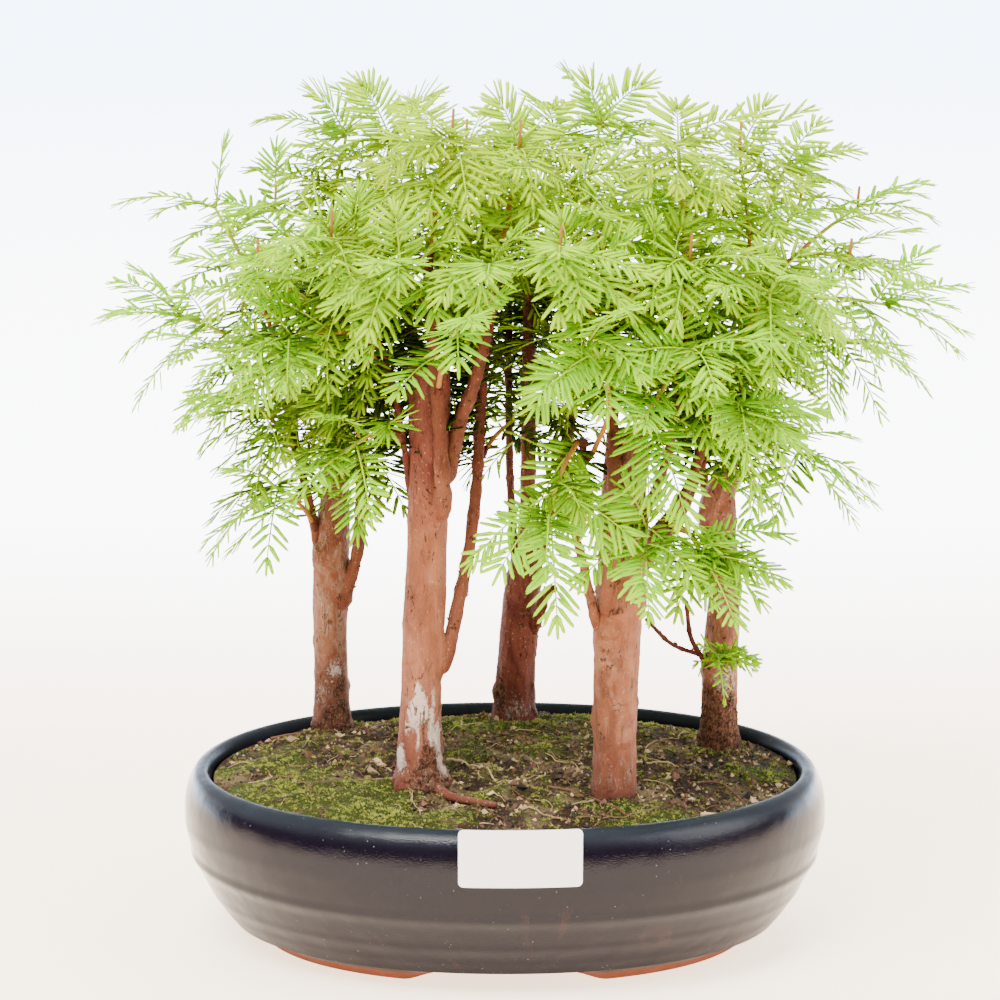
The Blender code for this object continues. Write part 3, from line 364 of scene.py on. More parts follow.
# Knots: height, degrees from the front, half height, bulge
KNOTS = {
    "tree_1": [(150, 40, 9, 1.6), (118, -80, 3, 0.8), (96, 100, 3, 0.8), (160, -60, 7, 1.2)],
    "tree_2": [
        (80, 26, 7, 2.2), (80, 70, 7, 1.6), (79, -48, 7, 1.6), (204, 42, 8, 3.0), (137, 84, 9, 2.0),
        (160, -20, 2.5, 0.5), (232, 30, 8, 1.4)
    ],
    "tree_3": [(92, -78, 4, 1.6), (118, 40, 9, 1.6), (103, 8, 3, 0.7), (150, 0, 8, 1.2)],
    "tree_4": [
        (166, -6, 8, 2.4), (164, 66, 8, 2.2), (110, -84, 3, 1.3), (148, -50, 9, 1.2), (118, 84, 2.5, 0.7)
    ],
    "tree_5": [(116, -60, 5, 1.6), (184, 60, 8, 1.6), (182, -60, 6, 1.0), (148, 80, 3, 0.6)],
}

# Camera, fitted to the photo: its place, degrees that it looks down, and lens for a 36 mm picture
CAMERA_PLACE, CAMERA_DOWN, CAMERA_LENS = (-2.2, -1445.5, 488.5), 11.4, 120.0


def unit(v):
    """The vectors at length 1."""
    return v / np.linalg.norm(v, axis=-1, keepdims=True)


def bezier(start, middle, end, count):
    """Points on the quadratic curve from start to end that leans towards middle."""
    t = np.linspace(0.0, 1.0, count)[:, None]
    return (1 - t) ** 2 * start + 2 * t * (1 - t) * middle + t**2 * end


def steps(path):
    """The length of each piece of a polyline."""
    return np.linalg.norm(np.diff(path, axis=0), axis=1)


def distances(path):
    """How far along a polyline each of its points lies."""
    return np.concatenate([[0.0], np.cumsum(steps(path))])


def from_middle(root):
    """The level direction from the forest's middle line to a place."""
    return unit(root * OUT_STRETCH + 1e-6)


def square_to(way, face):
    """The unit vectors nearest to face that stand square to way."""
    return unit(face - way * (way * face).sum(-1, keepdims=True))


def circle(sides):
    """The angles of so many even steps round a circle."""
    return np.arange(sides) * 2 * np.pi / sides


def degrees_apart(one, other):
    """How far apart two directions are, from 0 to 180 degrees."""
    return np.abs((one - other + 180) % 360 - 180)


def level_points(x, y):
    """Points at height zero."""
    return np.stack([x, y, np.zeros_like(x)], axis=-1)


def rib_points(root, heading, length, s, droop=RIB_DROOP):
    """Points at the shares s of a frond's rib: length (s heading + up (RIB_RISE s - droop s^2))."""
    return root + length * (s * heading + UP * (RIB_RISE * s - droop * s * s))


def show(name, data):
    """Makes an object of a mesh, a lamp or a camera and puts it in the scene."""
    made = bpy.data.objects.new(name, data)
    bpy.context.scene.collection.objects.link(made)
    return made


def along(path, share):
    """The point and the direction at a share of the length of a polyline."""
    lengths, walked = steps(path), distances(path)
    here = min(share, 0.999) * walked[-1]
    i = int(np.searchsorted(walked, here, side="right")) - 1
    part = (here - walked[i]) / lengths[i]
    return path[i] + part * (path[i + 1] - path[i]), unit(path[i + 1] - path[i])


def capsules(path, radii):
    """Rows (start, end, start radius, end radius) for the pieces of a path."""
    radii = np.broadcast_to(np.asarray(radii, float), len(path))
    return np.column_stack([path[:-1], path[1:], radii[:-1], radii[1:]])


def clearance(first, second):
    """The least free distance between two sets of tapered capsules."""
    p1, q1, p2, q2 = first[:, None, :3], first[:, None, 3:6], second[None, :, :3], second[None, :, 3:6]
    d1, d2, r = q1 - p1, q2 - p2, p1 - p2
    a, e, f = (d1 * d1).sum(-1), (d2 * d2).sum(-1), (d2 * r).sum(-1)
    b, c = (d1 * d2).sum(-1), (d1 * r).sum(-1)
    s = np.clip((b * f - c * e) / np.maximum(a * e - b * b, 1e-9), 0, 1)
    t = np.clip((b * s + f) / e, 0, 1)
    s = np.clip((b * t - c) / a, 0, 1)
    apart = np.linalg.norm(r + s[..., None] * d1 - t[..., None] * d2, axis=-1)
    wide1 = first[:, None, 6] + s * (first[:, 7] - first[:, 6])[:, None]
    wide2 = second[None, :, 6] + t * (second[:, 7] - second[:, 6])[None, :]
    return (apart - wide1 - wide2).min()


def frond_ribs(root, heading, length, out, leaf):
    """Rib, side and face directions and leaflet tips of a solid frond, and what it is grown from."""
    pairs = max(3, int(round(length * (LEAFY[1] - LEAFY[0]) / LEAFLET_PITCH)))
    s = np.concatenate([[0.0], np.linspace(*LEAFY, pairs + 1)])[:, None]
    rib = rib_points(root, heading, length, s)
    way = unit(np.gradient(rib, axis=0))
    face = square_to(way, UP + 0.5 * out)
    side = np.cross(way, face)
    middle = (rib[1:-1] + rib[2:]) / 2
    share = (s[1:-1] + s[2:]) / 2
    reach = leaf * (LEAFLET_SWELL[0] + LEAFLET_SWELL[1] * np.sin(np.pi * (0.12 + 0.80 * share)))
    forward = np.cos(LEAFLET_ANGLE) * way[1:-1]
    sideways = np.sin(LEAFLET_ANGLE) * side[1:-1]
    sag = LEAFLET_SAG * face[1:-1]
    right = middle + reach * (forward + sideways - sag)
    left = middle + reach * (forward - sideways - sag)
    end = rib[-1] + way[-1] * leaf * 0.75
    return {"rib": rib, "middle": middle, "right": right, "left": left, "end": end,
            "grown": (root, heading, length, out, leaf)}


def frond_capsules(frond):
    """The room that a frond takes: its rib and its leaflets as tapered capsules."""
    half = 0.5 * LEAFLET_PITCH * np.sin(LEAFLET_ANGLE)
    rows = [capsules(frond["rib"], 0.6)]
    rows.append(capsules(np.array([frond["rib"][-1], frond["end"]]), 0.5))
    for tips in (frond["right"], frond["left"]):
        wide = np.full(len(tips), half)
        rows.append(np.column_stack([frond["middle"], tips, wide, wide * 0.1]))
    return np.concatenate(rows)


def limb_paths(tree):
    """The limbs of a tree as (path, radii), each with a foot inside the trunk a little below it."""
    trunk = np.array(tree["trunk"], float)
    limbs = []
    for ends, points, _ in tree["limbs"]:
        path = np.array(points, float)
        low = path[0, 2] - LIMB_ROOTED
        foot = [np.interp(low, trunk[:, 2], trunk[:, k]) for k in (0, 1)]
        path = np.vstack([[*foot, low], path])
        limbs.append((path, np.linspace(*ends, len(path))))
    return limbs


def bent_shoot(start, tangent, tip, bend):
    """A woody twig and the leafy shoot beyond it, on one curve that leaves a limb and ends at the tip."""
    reach = np.linalg.norm(tip - start)
    lead = unit(LEAD[0] * tangent + LEAD[1] * unit(tip - start) + LEAD[2] * UP + bend)
    line = bezier(start, start + lead * reach * LEAD_REACH, tip, 40)
    walked = distances(line)

    def at(stations):
        return np.array([np.interp(stations, walked, line[:, k]) for k in range(3)]).T

    return at(np.linspace(0.0, TWIG, TWIG_POINTS)), at(np.linspace(TWIG, walked[-1], SHOOT_STATIONS))


def place_shoots(rng, wood, taken):
    """Grows a shoot to each tip, bending it until it is clear of what stands already."""
    shoots = []
    for name, tree in TREES.items():
        for (path, _), (_, _, tips) in zip(list(wood[name]), tree["limbs"]):
            for share, *tip in tips:
                start, tangent = along(path, share)
                best, widest = None, -np.inf
                for attempt in range(SHOOT_TRIES):
                    bend = rng.normal(0.0, BEND[0] + BEND[1] * attempt, 3)
                    twig, line = bent_shoot(start, tangent, np.array(tip, float), bend)
                    free = clearance(capsules(line, SHOOT_R[0]), np.concatenate(taken))
                    if shoots:
                        rooms = np.concatenate([shoot["room"] for shoot in shoots])
                        free = min(free, clearance(capsules(twig[1:], TWIG_R[1]), rooms))
                    if free > widest:
                        best, widest = (twig, line), free
                    if free > SHOOT_FREE:
                        break
                twig, line = best
                wood[name].append((twig, np.linspace(*TWIG_R, len(twig))))
                room = capsules(line, SHOOT_R[0])
                taken += [capsules(twig[1:], TWIG_R[1]), room]
                shoots.append({"tree": name, "path": line, "room": room, "fronds": []})
    return shoots


def frond_heading(rng, way, out, turn, attempt, at_end, lifts=FROND_LIFT):
    """A direction for a frond: out from the shoot at a wide angle, flatter round a level shoot, or
    nearly straight on at the end of a level shoot."""
    loose = TURN_SPREAD[0] + TURN_SPREAD[1] * attempt
    steep = abs(way[2])
    sideways = unit(np.cross(way, UP) + 1e-6)
    over = np.cross(sideways, way)
    around = turn + rng.normal(0.0, loose)
    lift = np.radians(rng.uniform(*lifts))
    if at_end:
        lift *= END_LIFT * np.clip((steep - LEVEL[0]) / LEVEL[1], 0.0, 1.0)
    across = np.cos(around) * sideways + np.sin(around) * over * (FLATTEN + (1 - FLATTEN) * steep)
    return unit(np.cos(lift) * way + np.sin(lift) * unit(across) + OUTWARDS * out)


def place_fronds(rng, shoots, standing):
    """Sets fronds on every shoot, first at the ends and then along the sides, turned until clear."""
    lines = [shoot["room"] for shoot in shoots]
    for at_end in (True, False):
        for index, shoot in enumerate(shoots):
            path = shoot["path"]
            length = steps(path).sum()
            size = np.clip(length / FULL_SIZE_SHOOT, 0.5, 1.0)
            count = 1 if at_end else (3 if length > LONG_SHOOT else 2)
            turn = rng.uniform(0.0, 2 * np.pi)
            for k in range(count):
                share = END_SHARE if at_end else np.interp((k + 0.5) / count, (0, 1), SIDE_SHARES)
                root, way = along(path, share)
                out = from_middle(root)
                others = np.concatenate(standing + lines[:index] + lines[index + 1:])
                best, widest = None, -np.inf
                for attempt in range(FROND_TRIES):
                    heading = frond_heading(rng, way, out, turn + TURN * k, attempt, at_end)
                    reach = rng.uniform(*FROND_LENGTH) * size * (1.0 - 0.004 * attempt)
                    frond = frond_ribs(root, heading, reach, out, LEAFLET_LENGTH * size)
                    room = frond_capsules(frond)
                    free = min(clearance(room[1:], others), clearance(room[2:], lines[index]) + 1.2)
                    if free > widest:
                        best, widest = frond, free
                    if free > FROND_FREE:
                        break
                if widest > FROND_FREE / 2:
                    best["share"] = share
                    shoot["fronds"].append(best)
                    standing.append(frond_capsules(best))


def grow():
    """Every limb and twig of each tree, and every shoot with its fronds, each clear of the others."""
    rng = np.random.default_rng(SEED)
    wood = {name: limb_paths(tree) for name, tree in TREES.items()}
    standing = []
    for name, tree in TREES.items():
        trunk = np.array(tree["trunk"], float)
        standing.append(capsules(trunk[:, :3], trunk[:, 3]))
        standing += [capsules(path, radii) for path, radii in wood[name]]
    taken = list(standing)
    shoots = place_shoots(rng, wood, taken)
    for twigs in wood.values():
        standing += [capsules(path[1:], TWIG_R[1]) for path, _ in twigs if len(path) == TWIG_POINTS]
    place_fronds(rng, shoots, standing)
    return wood, shoots


def noise(points, size, seed):
    """Smooth noise from -1 to 1: a random value at each corner of a cubic lattice of the given spacing,
    blended across each cell by the smoothstep 3t^2 - 2t^3 of the place in it."""
    place = np.asarray(points, float) / size
    cell = np.floor(place).astype(np.int64)
    part = place - cell
    part = part * part * (3 - 2 * part)
    total = 0.0
    for corner in np.ndindex(2, 2, 2):
        x, y, z = ((cell[..., k] + corner[k]) for k in range(3))
        mixed = (x * 73856093) ^ (y * 19349663) ^ (z * 83492791) ^ (seed * 40503)
        mixed = (mixed ^ (mixed >> 13)) * 1274126177 & 0x7FFFFFFF
        value = ((mixed ^ (mixed >> 15)) & 0xFFFF) / 32767.5 - 1
        weight = np.prod([part[..., k] if corner[k] else 1 - part[..., k] for k in range(3)], axis=0)
        total = total + weight * value
    return total


def smooth_path(path, values, count):
    """A polyline and the values at its points, drawn as count stations of the Catmull-Rom curve through
    them: each stretch is the cubic whose ends turn along the chord of their neighbours."""
    rows = np.column_stack([path, values])
    rows = np.vstack([2 * rows[0] - rows[1], rows, 2 * rows[-1] - rows[-2]])
    where = np.linspace(0, len(rows) - 3 - 1e-9, count)
    i = where.astype(int)
    t = (where - i)[:, None]
    a, b, c, d = rows[i], rows[i + 1], rows[i + 2], rows[i + 3]
    square, cube = 2 * a - 5 * b + 4 * c - d, 3 * b - a - 3 * c + d
    curve = 0.5 * (2 * b + (c - a) * t + square * t**2 + cube * t**3)
    return curve[:, :3], curve[:, 3]


def grid_faces(rows, columns):
    """Quads of a grid whose columns close into rings."""
    i, j = np.meshgrid(np.arange(rows - 1), np.arange(columns), indexing="ij")
    a = i * columns + j
    b = i * columns + (j + 1) % columns
    return np.stack([a, b, b + columns, a + columns], axis=-1).reshape(-1, 4)


def cap_faces(ring, centre, flip):
    """Triangles from a ring of point numbers to the number of the point in its middle."""
    after = np.roll(ring, -1)
    first, second = (after, ring) if flip else (ring, after)
    return np.stack([first, second, np.full(len(ring), centre)], axis=-1)


def closed_faces(rows, sides):
    """Quads and triangles of stacked rings that the next two points close, one at each end."""
    ring, n = np.arange(sides), rows * sides
    ends = [cap_faces(ring, n, True), cap_faces(n - sides + ring, n + 1, False)]
    return grid_faces(rows, sides), np.concatenate(ends)


def rod(path, radii, sides):
    """A round rod: at each station a ring of so many sides stands square to the path, radii[i] or
    radii[i, j] from it, and a point closes each end. Returns points, quads, triangles and the stations."""
    way = unit(np.gradient(path, axis=0))
    across = np.eye(3)[0 if abs(way.mean(axis=0)[0]) < 0.7 else 1]
    one = unit(np.cross(way, across))
    two = np.cross(way, one)
    angle = circle(sides)
    round_ = np.cos(angle)[None, :, None] * one[:, None] + np.sin(angle)[None, :, None] * two[:, None]
    radii = np.asarray(radii, float)
    radii = np.broadcast_to(radii[:, None] if radii.ndim == 1 else radii, (len(path), sides))
    rings = path[:, None] + radii[..., None] * round_
    points = np.concatenate([rings.reshape(-1, 3), path[:1], path[-1:] + way[-1:] * radii[-1].mean() * 0.4])
    stations = np.concatenate([np.repeat(np.linspace(0, 1, len(path)), sides), [0.0, 1.0]])
    return points, *closed_faces(len(path), sides), stations


class Pile:
    """Surfaces gathered into one mesh: points, faces of four and of three corners, and named values
    that ride on the points."""

    def __init__(self):
        self.points, self.quads, self.triangles, self.values = [], [], [], {}
        self.count = 0

    def add(self, points, quads, triangles, **values):
        if len(quads):
            self.quads.append(np.asarray(quads) + self.count)
        if len(triangles):
            self.triangles.append(np.asarray(triangles) + self.count)
        for name, value in values.items():
            self.values.setdefault(name, []).append(np.broadcast_to(value, len(points)).astype(float))
        self.points.append(points)
        self.count += len(points)

    def piece(self, name, finish, slot, stands_for=(), smooth=True):
        """Writes the mesh and makes the piece that rides on the root body."""
        points = (np.concatenate(self.points) + MIDDLE) * MM
        quads = np.concatenate(self.quads) if self.quads else np.zeros((0, 4), int)
        triangles = np.concatenate(self.triangles) if self.triangles else np.zeros((0, 3), int)
        mesh = bpy.data.meshes.new(name)
        mesh.vertices.add(len(points))
        mesh.vertices.foreach_set("co", points.ravel())
        loops = np.concatenate([quads.ravel(), triangles.ravel()])
        mesh.loops.add(len(loops))
        mesh.loops.foreach_set("vertex_index", loops)
        sizes = np.concatenate([np.full(len(quads), 4), np.full(len(triangles), 3)])
        mesh.polygons.add(len(sizes))
        mesh.polygons.foreach_set("loop_start", np.concatenate([[0], np.cumsum(sizes)[:-1]]))
        mesh.polygons.foreach_set("use_smooth", np.full(len(sizes), smooth))
        mesh.update(calc_edges=True)
        for label, value in self.values.items():
            layer = mesh.attributes.new(label, "FLOAT", "POINT")
            layer.data.foreach_set("value", np.concatenate(value).astype(np.float32))
        mesh.materials.append(finish)
        made = show(name, mesh)
        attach(made, "root")
        if stands_for:
            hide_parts(*stands_for)
        return made


class Value:
    """A number socket of a material's tree. Its operators add Math nodes and give new sockets."""

    def __init__(self, paint, socket):
        self.paint, self.socket = paint, socket

    def math(self, operation, *others):
        return self.paint.node("ShaderNodeMath", {"operation": operation}, *others)[0]

    def __add__(self, other):
        return self.math("ADD", self, other)

    def __sub__(self, other):
        return self.math("SUBTRACT", self, other)

    def __rsub__(self, other):
        return self.math("SUBTRACT", other, self)

    def __mul__(self, other):
        return self.math("MULTIPLY", self, other)

    def __truediv__(self, other):
        return self.math("DIVIDE", self, other)

    def __pow__(self, other):
        return self.math("POWER", self, other)

    __radd__ = __add__
    __rmul__ = __mul__

    def __abs__(self):
        return self.math("ABSOLUTE", self)

    def clipped(self):
        return self.math("MINIMUM", self.math("MAXIMUM", self, 0.0), 1.0)

    def step(self, low, high):
        """0 below low and 1 above high, with a smooth rise between them."""
        return self.paint.node("ShaderNodeMapRange", {"interpolation_type": "SMOOTHSTEP"}, self, low, high,
                               0.0, 1.0)[0]


class Paint:
    """A material, or the world, and its node tree, with the nodes that its recipe needs."""

    def __init__(self, name, owners=None, shader="Principled BSDF", place="Object"):
        self.material = (bpy.data.materials if owners is None else owners).new(name)
        self.material.use_nodes = True
        self.tree = self.material.node_tree
        self.shader = self.tree.nodes[shader]
        self.place = self.node("ShaderNodeTexCoord", {})[place]

    def node(self, kind, settings, *inputs, **named):
        """Adds a node, sets it up, links or fills its inputs, and gives its outputs."""
        node = self.tree.nodes.new(kind)
        for key, setting in settings.items():
            setattr(node, key, setting)
        for key, given in [*enumerate(inputs), *named.items()]:
            if given is not None:
                self.join(given, node.inputs[key.replace("_", " ") if isinstance(key, str) else key])
        return Outputs(self, node)

    def join(self, given, socket):
        if isinstance(given, Value):
            self.tree.links.new(given.socket, socket)
        elif hasattr(socket.default_value, "__len__") and not hasattr(given, "__len__"):
            socket.default_value = [given] * len(socket.default_value)
        elif hasattr(given, "__len__") and len(given) == 3 and len(socket.default_value) == 4:
            socket.default_value = (*given, 1.0)
        else:
            socket.default_value = given

    def value(self, name):
        """A value that rides on the piece's points."""
        return self.node("ShaderNodeAttribute", {"attribute_name": name})["Fac"]

    def clouds(self, scale, detail=3.0, rough=0.55, place=None, distortion=0.0):
        """Noise from 0 to 1, scale cells to the metre."""
        return self.node("ShaderNodeTexNoise", {}, Vector=place or self.place, Scale=scale, Detail=detail,
                         Roughness=rough, Distortion=distortion)["Fac"]

    def drawn_out(self, scale, detail, rough, up, distortion=0.0):
        """The same noise, drawn out upwards to cells 1/up times as tall as wide."""
        place = self.node("ShaderNodeMapping", {}, Vector=self.place, Scale=(1.0, 1.0, up))["Vector"]
        return self.clouds(scale, detail, rough, place, distortion)

    def cells(self, scale):
        """Distance to the nearest of scattered points, scale of them to the metre."""
        return self.node("ShaderNodeTexVoronoi", {}, Vector=self.place, Scale=scale)["Distance"]

    def mix(self, amount, first, second):
        """A colour between two colours."""
        node = self.tree.nodes.new("ShaderNodeMix")
        node.data_type = "RGBA"
        for given, socket in ((amount, node.inputs[0]), (first, node.inputs[6]), (second, node.inputs[7])):
            self.join(given, socket)
        return Value(self, node.outputs[2])

    def bump(self, height, depth, strength=1.0, base=None):
        """A normal from a height in the range 0 to 1 that stands for depth in metres."""
        return self.node("ShaderNodeBump", {}, Strength=strength, Distance=depth, Height=height,
                         Normal=base)["Normal"]

    def blend(self, amount, other):
        """Mixes another shader into the material's own."""
        both = self.node("ShaderNodeMixShader", {}, amount, Value(self, self.shader.outputs[0]), other)[0]
        self.tree.links.new(both.socket, self.tree.nodes["Material Output"].inputs[0])

    def set(self, **inputs):
        """Sets or links the shader's own inputs."""
        for key, given in inputs.items():
            self.join(given, self.shader.inputs[key.replace("_", " ")])
        return self.material


class Outputs:
    """The outputs of a node, by name or place."""

    def __init__(self, paint, node):
        self.paint, self.node = paint, node

    def __getitem__(self, key):
        return Value(self.paint, self.node.outputs[key])


def rgb(*screen):
    """A colour given from 0 to 255 as a screen shows it, in linear light."""
    return tuple(((c / 255 + 0.055) / 1.055) ** 2.4 if c > 10 else c / 255 / 12.92 for c in screen)


def glaze_finish():
    """Near-black navy glaze, brown where it is thin above the feet, with a painted grey-blue reflection on
    the rim, dusted with fine specks, over red-brown clay that shows bare below the glaze line on the feet."""
    paint = Paint("navy_glaze")
    across = paint.node("ShaderNodeSeparateXYZ", {}, paint.place)
    height = across["Z"]
    broad, fine = paint.clouds(26.0), paint.clouds(140.0, 4.0)
    ragged = height + (paint.clouds(90.0, 3.0) - 0.5) * 0.0016
    bare = 1.0 - ragged.step(CLAY_LINE * MM - 0.0003, CLAY_LINE * MM + 0.0003)
    thin = (1.0 - ragged.step(0.0052, 0.0085)) * 0.6
    dust = (1.0 - paint.cells(330.0).step(0.05, 0.13)) * paint.clouds(60.0).step(0.5, 0.66)
    runs = paint.drawn_out(60.0, 4.0, 0.6, 0.2, 0.5)
    glaze = paint.mix(broad, rgb(9, 6, 17), rgb(16, 9, 21))
    glaze = paint.mix(runs.step(0.6, 0.72) * 0.6, glaze, rgb(44, 22, 26))
    glaze = paint.mix(thin, glaze, rgb(40, 26, 26))
    # Painted reflection: grey-blue on the rim, for the sky that the glossy rim mirrors
    glaze = paint.mix(ragged.step(0.069, 0.0765) * (0.2 + broad * 0.5), glaze, rgb(52, 60, 68))
    glaze = paint.mix(dust * 0.4, glaze, rgb(150, 150, 152))
    clay = paint.mix(fine, rgb(88, 46, 32), rgb(120, 66, 48))
    gritty = paint.bump(paint.clouds(1500.0, 2.0), 0.0002, 0.6)
    wavy = paint.bump(paint.clouds(70.0, 2.0, 0.4), 0.0012, 0.4, gritty)
    rough = 0.02 + broad * 0.03 + dust * 0.3
    colour = paint.mix(bare, glaze, clay)
    material = paint.set(Base_Color=colour, Roughness=rough + bare * 0.7, Normal=wavy,
                         Specular_IOR_Level=0.25)
    right = abs(across["X"] - MIDDLE[0] * MM) / (TRAY_A * MM)
    back = abs(across["Y"] - MIDDLE[1] * MM) / (TRAY_B * MM)
    inward = 1.0 - (right**TRAY_FULLNESS + back**TRAY_FULLNESS) ** (1 / TRAY_FULLNESS)
    crest = inward.step(0.022, 0.04) * height.step(0.064, 0.067) * (0.5 + broad * 0.3)
    foot = (1.0 - height.step(0.004, 0.036)) * 0.62
    paint.blend((crest + foot).clipped(), paint.node("ShaderNodeBsdfDiffuse", {}, Color=colour)[0])
    return material


def soil_finish():
    """Dark crumbly earth, green where moss grows on it."""
    paint = Paint("mossy_earth")
    crumbs, fine = paint.cells(520.0), paint.clouds(900.0, 4.0)
    patch = paint.clouds(60.0, 4.0)
    earth = paint.mix(fine, rgb(20, 13, 9), rgb(62, 44, 30))
    earth = paint.mix(patch.step(0.46, 0.64) * 0.7, earth, rgb(128, 106, 78))
    tips = 1.0 - paint.cells(900.0).step(0.1, 0.45)
    green = paint.mix(fine, rgb(26, 28, 9), rgb(66, 74, 20))
    green = paint.mix(tips * paint.clouds(420.0, 3.0).step(0.4, 0.62), green, rgb(176, 180, 74))
    mossy = (paint.value("moss") + (paint.clouds(260.0, 3.0) - 0.5) * 0.9).step(0.25, 0.6)
    height = crumbs * 0.7 + fine * 0.5
    return paint.set(Base_Color=paint.mix(mossy, earth, green), Roughness=0.95, Specular_IOR_Level=0.2,
                     Normal=paint.bump(height, 0.0012, 0.9))


def moss_finish():
    """Moss leaves, from brown-olive through green to a bright yellow-green, dark with painted shade towards
    their bases.
    """
    paint = Paint("cushion_moss")
    tone = (paint.value("tone") + (paint.clouds(220.0, 3.0) - 0.5) * 0.5).clipped()
    low = paint.mix(tone.step(0.0, 0.45), rgb(108, 88, 54), rgb(116, 130, 42))
    colour = paint.mix(tone.step(0.4, 1.0), low, rgb(214, 216, 98))
    # Painted shade towards each leaf's base and in the gaps between clumps
    colour = paint.mix(paint.value("depth"), rgb(16, 16, 7), colour)
    return paint.set(Base_Color=colour, Roughness=0.8, Specular_IOR_Level=0.25)


def litter_finish():
    """Crumbs, dry needles, rootlets and straws, from dark earth through rust to pale straw."""
    paint = Paint("earth_litter")
    tone = (paint.value("tone") + (paint.clouds(400.0, 3.0) - 0.5) * 0.3).clipped()
    low = paint.mix(tone.step(0.0, 0.5), rgb(28, 19, 14), rgb(106, 68, 46))
    colour = paint.mix(tone.step(0.5, 1.0), low, rgb(212, 180, 136))
    return paint.set(Base_Color=colour, Roughness=0.75,
                     Normal=paint.bump(paint.clouds(1200.0), 0.0003, 0.5))


def bark_finish():
    """Fibrous bark: long streaks of tan, rust and wine red, grey skin, dark creases, lime and crust."""
    paint = Paint("redwood_bark")
    streaks = paint.drawn_out(420.0, 5.0, 0.6, 0.16, 0.6)
    broad = paint.drawn_out(95.0, 4.0, 0.55, 0.4, 0.8)
    fine = paint.drawn_out(1500.0, 3.0, 0.6, 0.5)
    ragged = paint.drawn_out(230.0, 5.0, 0.65, 0.6, 1.2)
    lines = paint.drawn_out(170.0, 2.0, 0.5, 0.22, 1.5)
    red, grey, woody = paint.value("red"), paint.value("grey"), paint.value("woody")
    tan = paint.mix(broad.step(0.3, 0.7), rgb(146, 88, 62), rgb(190, 131, 98))
    rust = paint.mix(broad.step(0.35, 0.65), rgb(92, 44, 38), rgb(122, 66, 54))
    # The red value also carries painted shade under the crown, as darker rust near a trunk's top
    bark = paint.mix((red + (broad - 0.5) * 0.8 + (streaks - 0.5) * 0.5).clipped(), tan, rust)
    skin = (grey + (ragged - 0.5) * 1.4).step(0.35, 0.75)
    bark = paint.mix(skin * 0.7, bark, rgb(158, 126, 110))
    worn = paint.drawn_out(75.0, 5.0, 0.6, 0.55, 1.0)
    bark = paint.mix((1.0 - worn.step(0.36, 0.5)) * (0.25 + grey), bark, rgb(104, 58, 44))
    bark = paint.mix(woody, bark, paint.mix(streaks, rgb(62, 26, 21), rgb(108, 54, 38)))
    crack = (1.0 - abs(lines - 0.5).step(0.004, 0.016)) * ragged.step(0.5, 0.6)
    crease = (1.0 - streaks.step(0.26, 0.44)) * 0.5
    bark = paint.mix(paint.node("ShaderNodeMath", {"operation": "MAXIMUM"}, crease, crack * 0.8)[0], bark,
                     rgb(38, 18, 14))
    dots = (1.0 - paint.cells(420.0).step(0.10, 0.2)) * broad.step(0.4, 0.55)
    flecks = fine.step(0.58, 0.75)
    bark = paint.mix(dots * 0.45 + flecks * 0.3, bark, rgb(190, 152, 122))
    smear = paint.drawn_out(620.0, 4.0, 0.7, 0.7, 1.0)
    white = (paint.value("white") + (ragged - 0.5) * 1.3 + (smear - 0.5) * 1.7).step(0.36, 0.82)
    bark = paint.mix(white * (0.36 + smear * 0.85 - crack * 0.8), bark, rgb(216, 198, 188))
    dark = (paint.value("dark") + (ragged - 0.5) * 1.5).step(0.35, 0.7)
    crust = paint.mix(smear.step(0.35, 0.65), rgb(27, 17, 13), rgb(126, 84, 64))
    crust = paint.mix(fine.step(0.58, 0.68) * (white * 0.6 + 0.4), crust, rgb(190, 168, 152))
    bark = paint.mix(dark * 0.92, bark, crust)
    cut = paint.mix(paint.clouds(300.0, 4.0), rgb(112, 84, 62), rgb(62, 42, 32))
    bark = paint.mix(paint.value("cut"), bark, cut)
    height = streaks * 0.5 + ragged * 0.5 + white * 0.25 + fine * 0.2 - crack * 0.5
    return paint.set(Base_Color=bark, Roughness=0.62 + dark * 0.3 + white * 0.2, Specular_IOR_Level=0.1,
                     Normal=paint.bump(height, 0.0016, 0.9))


def leaf_finish():
    """Soft needles: dark green in painted shade inside the crown to bright lime outside, yellower high up
    and towards the tips, with light passing through them."""
    paint = Paint("redwood_needles")
    # The value that rides on the needles holds their own tone and painted light: painted shade inside the
    # crown, brighter outside
    fresh = (paint.value("fresh") + (paint.clouds(160.0, 2.0) - 0.5) * 0.3).clipped()
    low = paint.mix(fresh.step(0.0, 0.5), rgb(52, 78, 20), rgb(94, 138, 25))
    colour = paint.mix(fresh.step(0.35, 0.95), low, rgb(184, 242, 1))
    colour = paint.mix(paint.value("yellow").clipped(), colour, rgb(218, 238, 4))
    material = paint.set(Base_Color=colour, Roughness=0.6, Specular_IOR_Level=0.04)
    paint.blend(0.36, paint.node("ShaderNodeBsdfTranslucent", {}, Color=colour)[0])
    return material


def stem_finish():
    """Young stems: rust-brown at the twig, tan along the shoot and yellow-green where it is soft."""
    paint = Paint("young_stem")
    green = (paint.value("green") + (paint.clouds(300.0, 2.0) - 0.5) * 0.3).clipped()
    streaks = paint.drawn_out(700.0, 3.0, 0.6, 0.3)
    low = paint.mix(streaks, rgb(134, 82, 40), rgb(180, 126, 60))
    colour = paint.mix(green.step(0.15, 0.75), low, rgb(162, 196, 38))
    return paint.set(Base_Color=colour, Roughness=0.6, Specular_IOR_Level=0.08,
                     Normal=paint.bump(streaks, 0.0003, 0.5))


def label_finish():
    """Blank white sticker paper with a faint sheen."""
    paint = Paint("blank_label")
    colour = paint.mix(paint.clouds(40.0), rgb(248, 247, 250), rgb(254, 254, 255))
    return paint.set(Base_Color=colour, Roughness=0.3 + paint.clouds(300.0) * 0.1,
                     Normal=paint.bump(paint.clouds(900.0), 0.00005, 0.3))


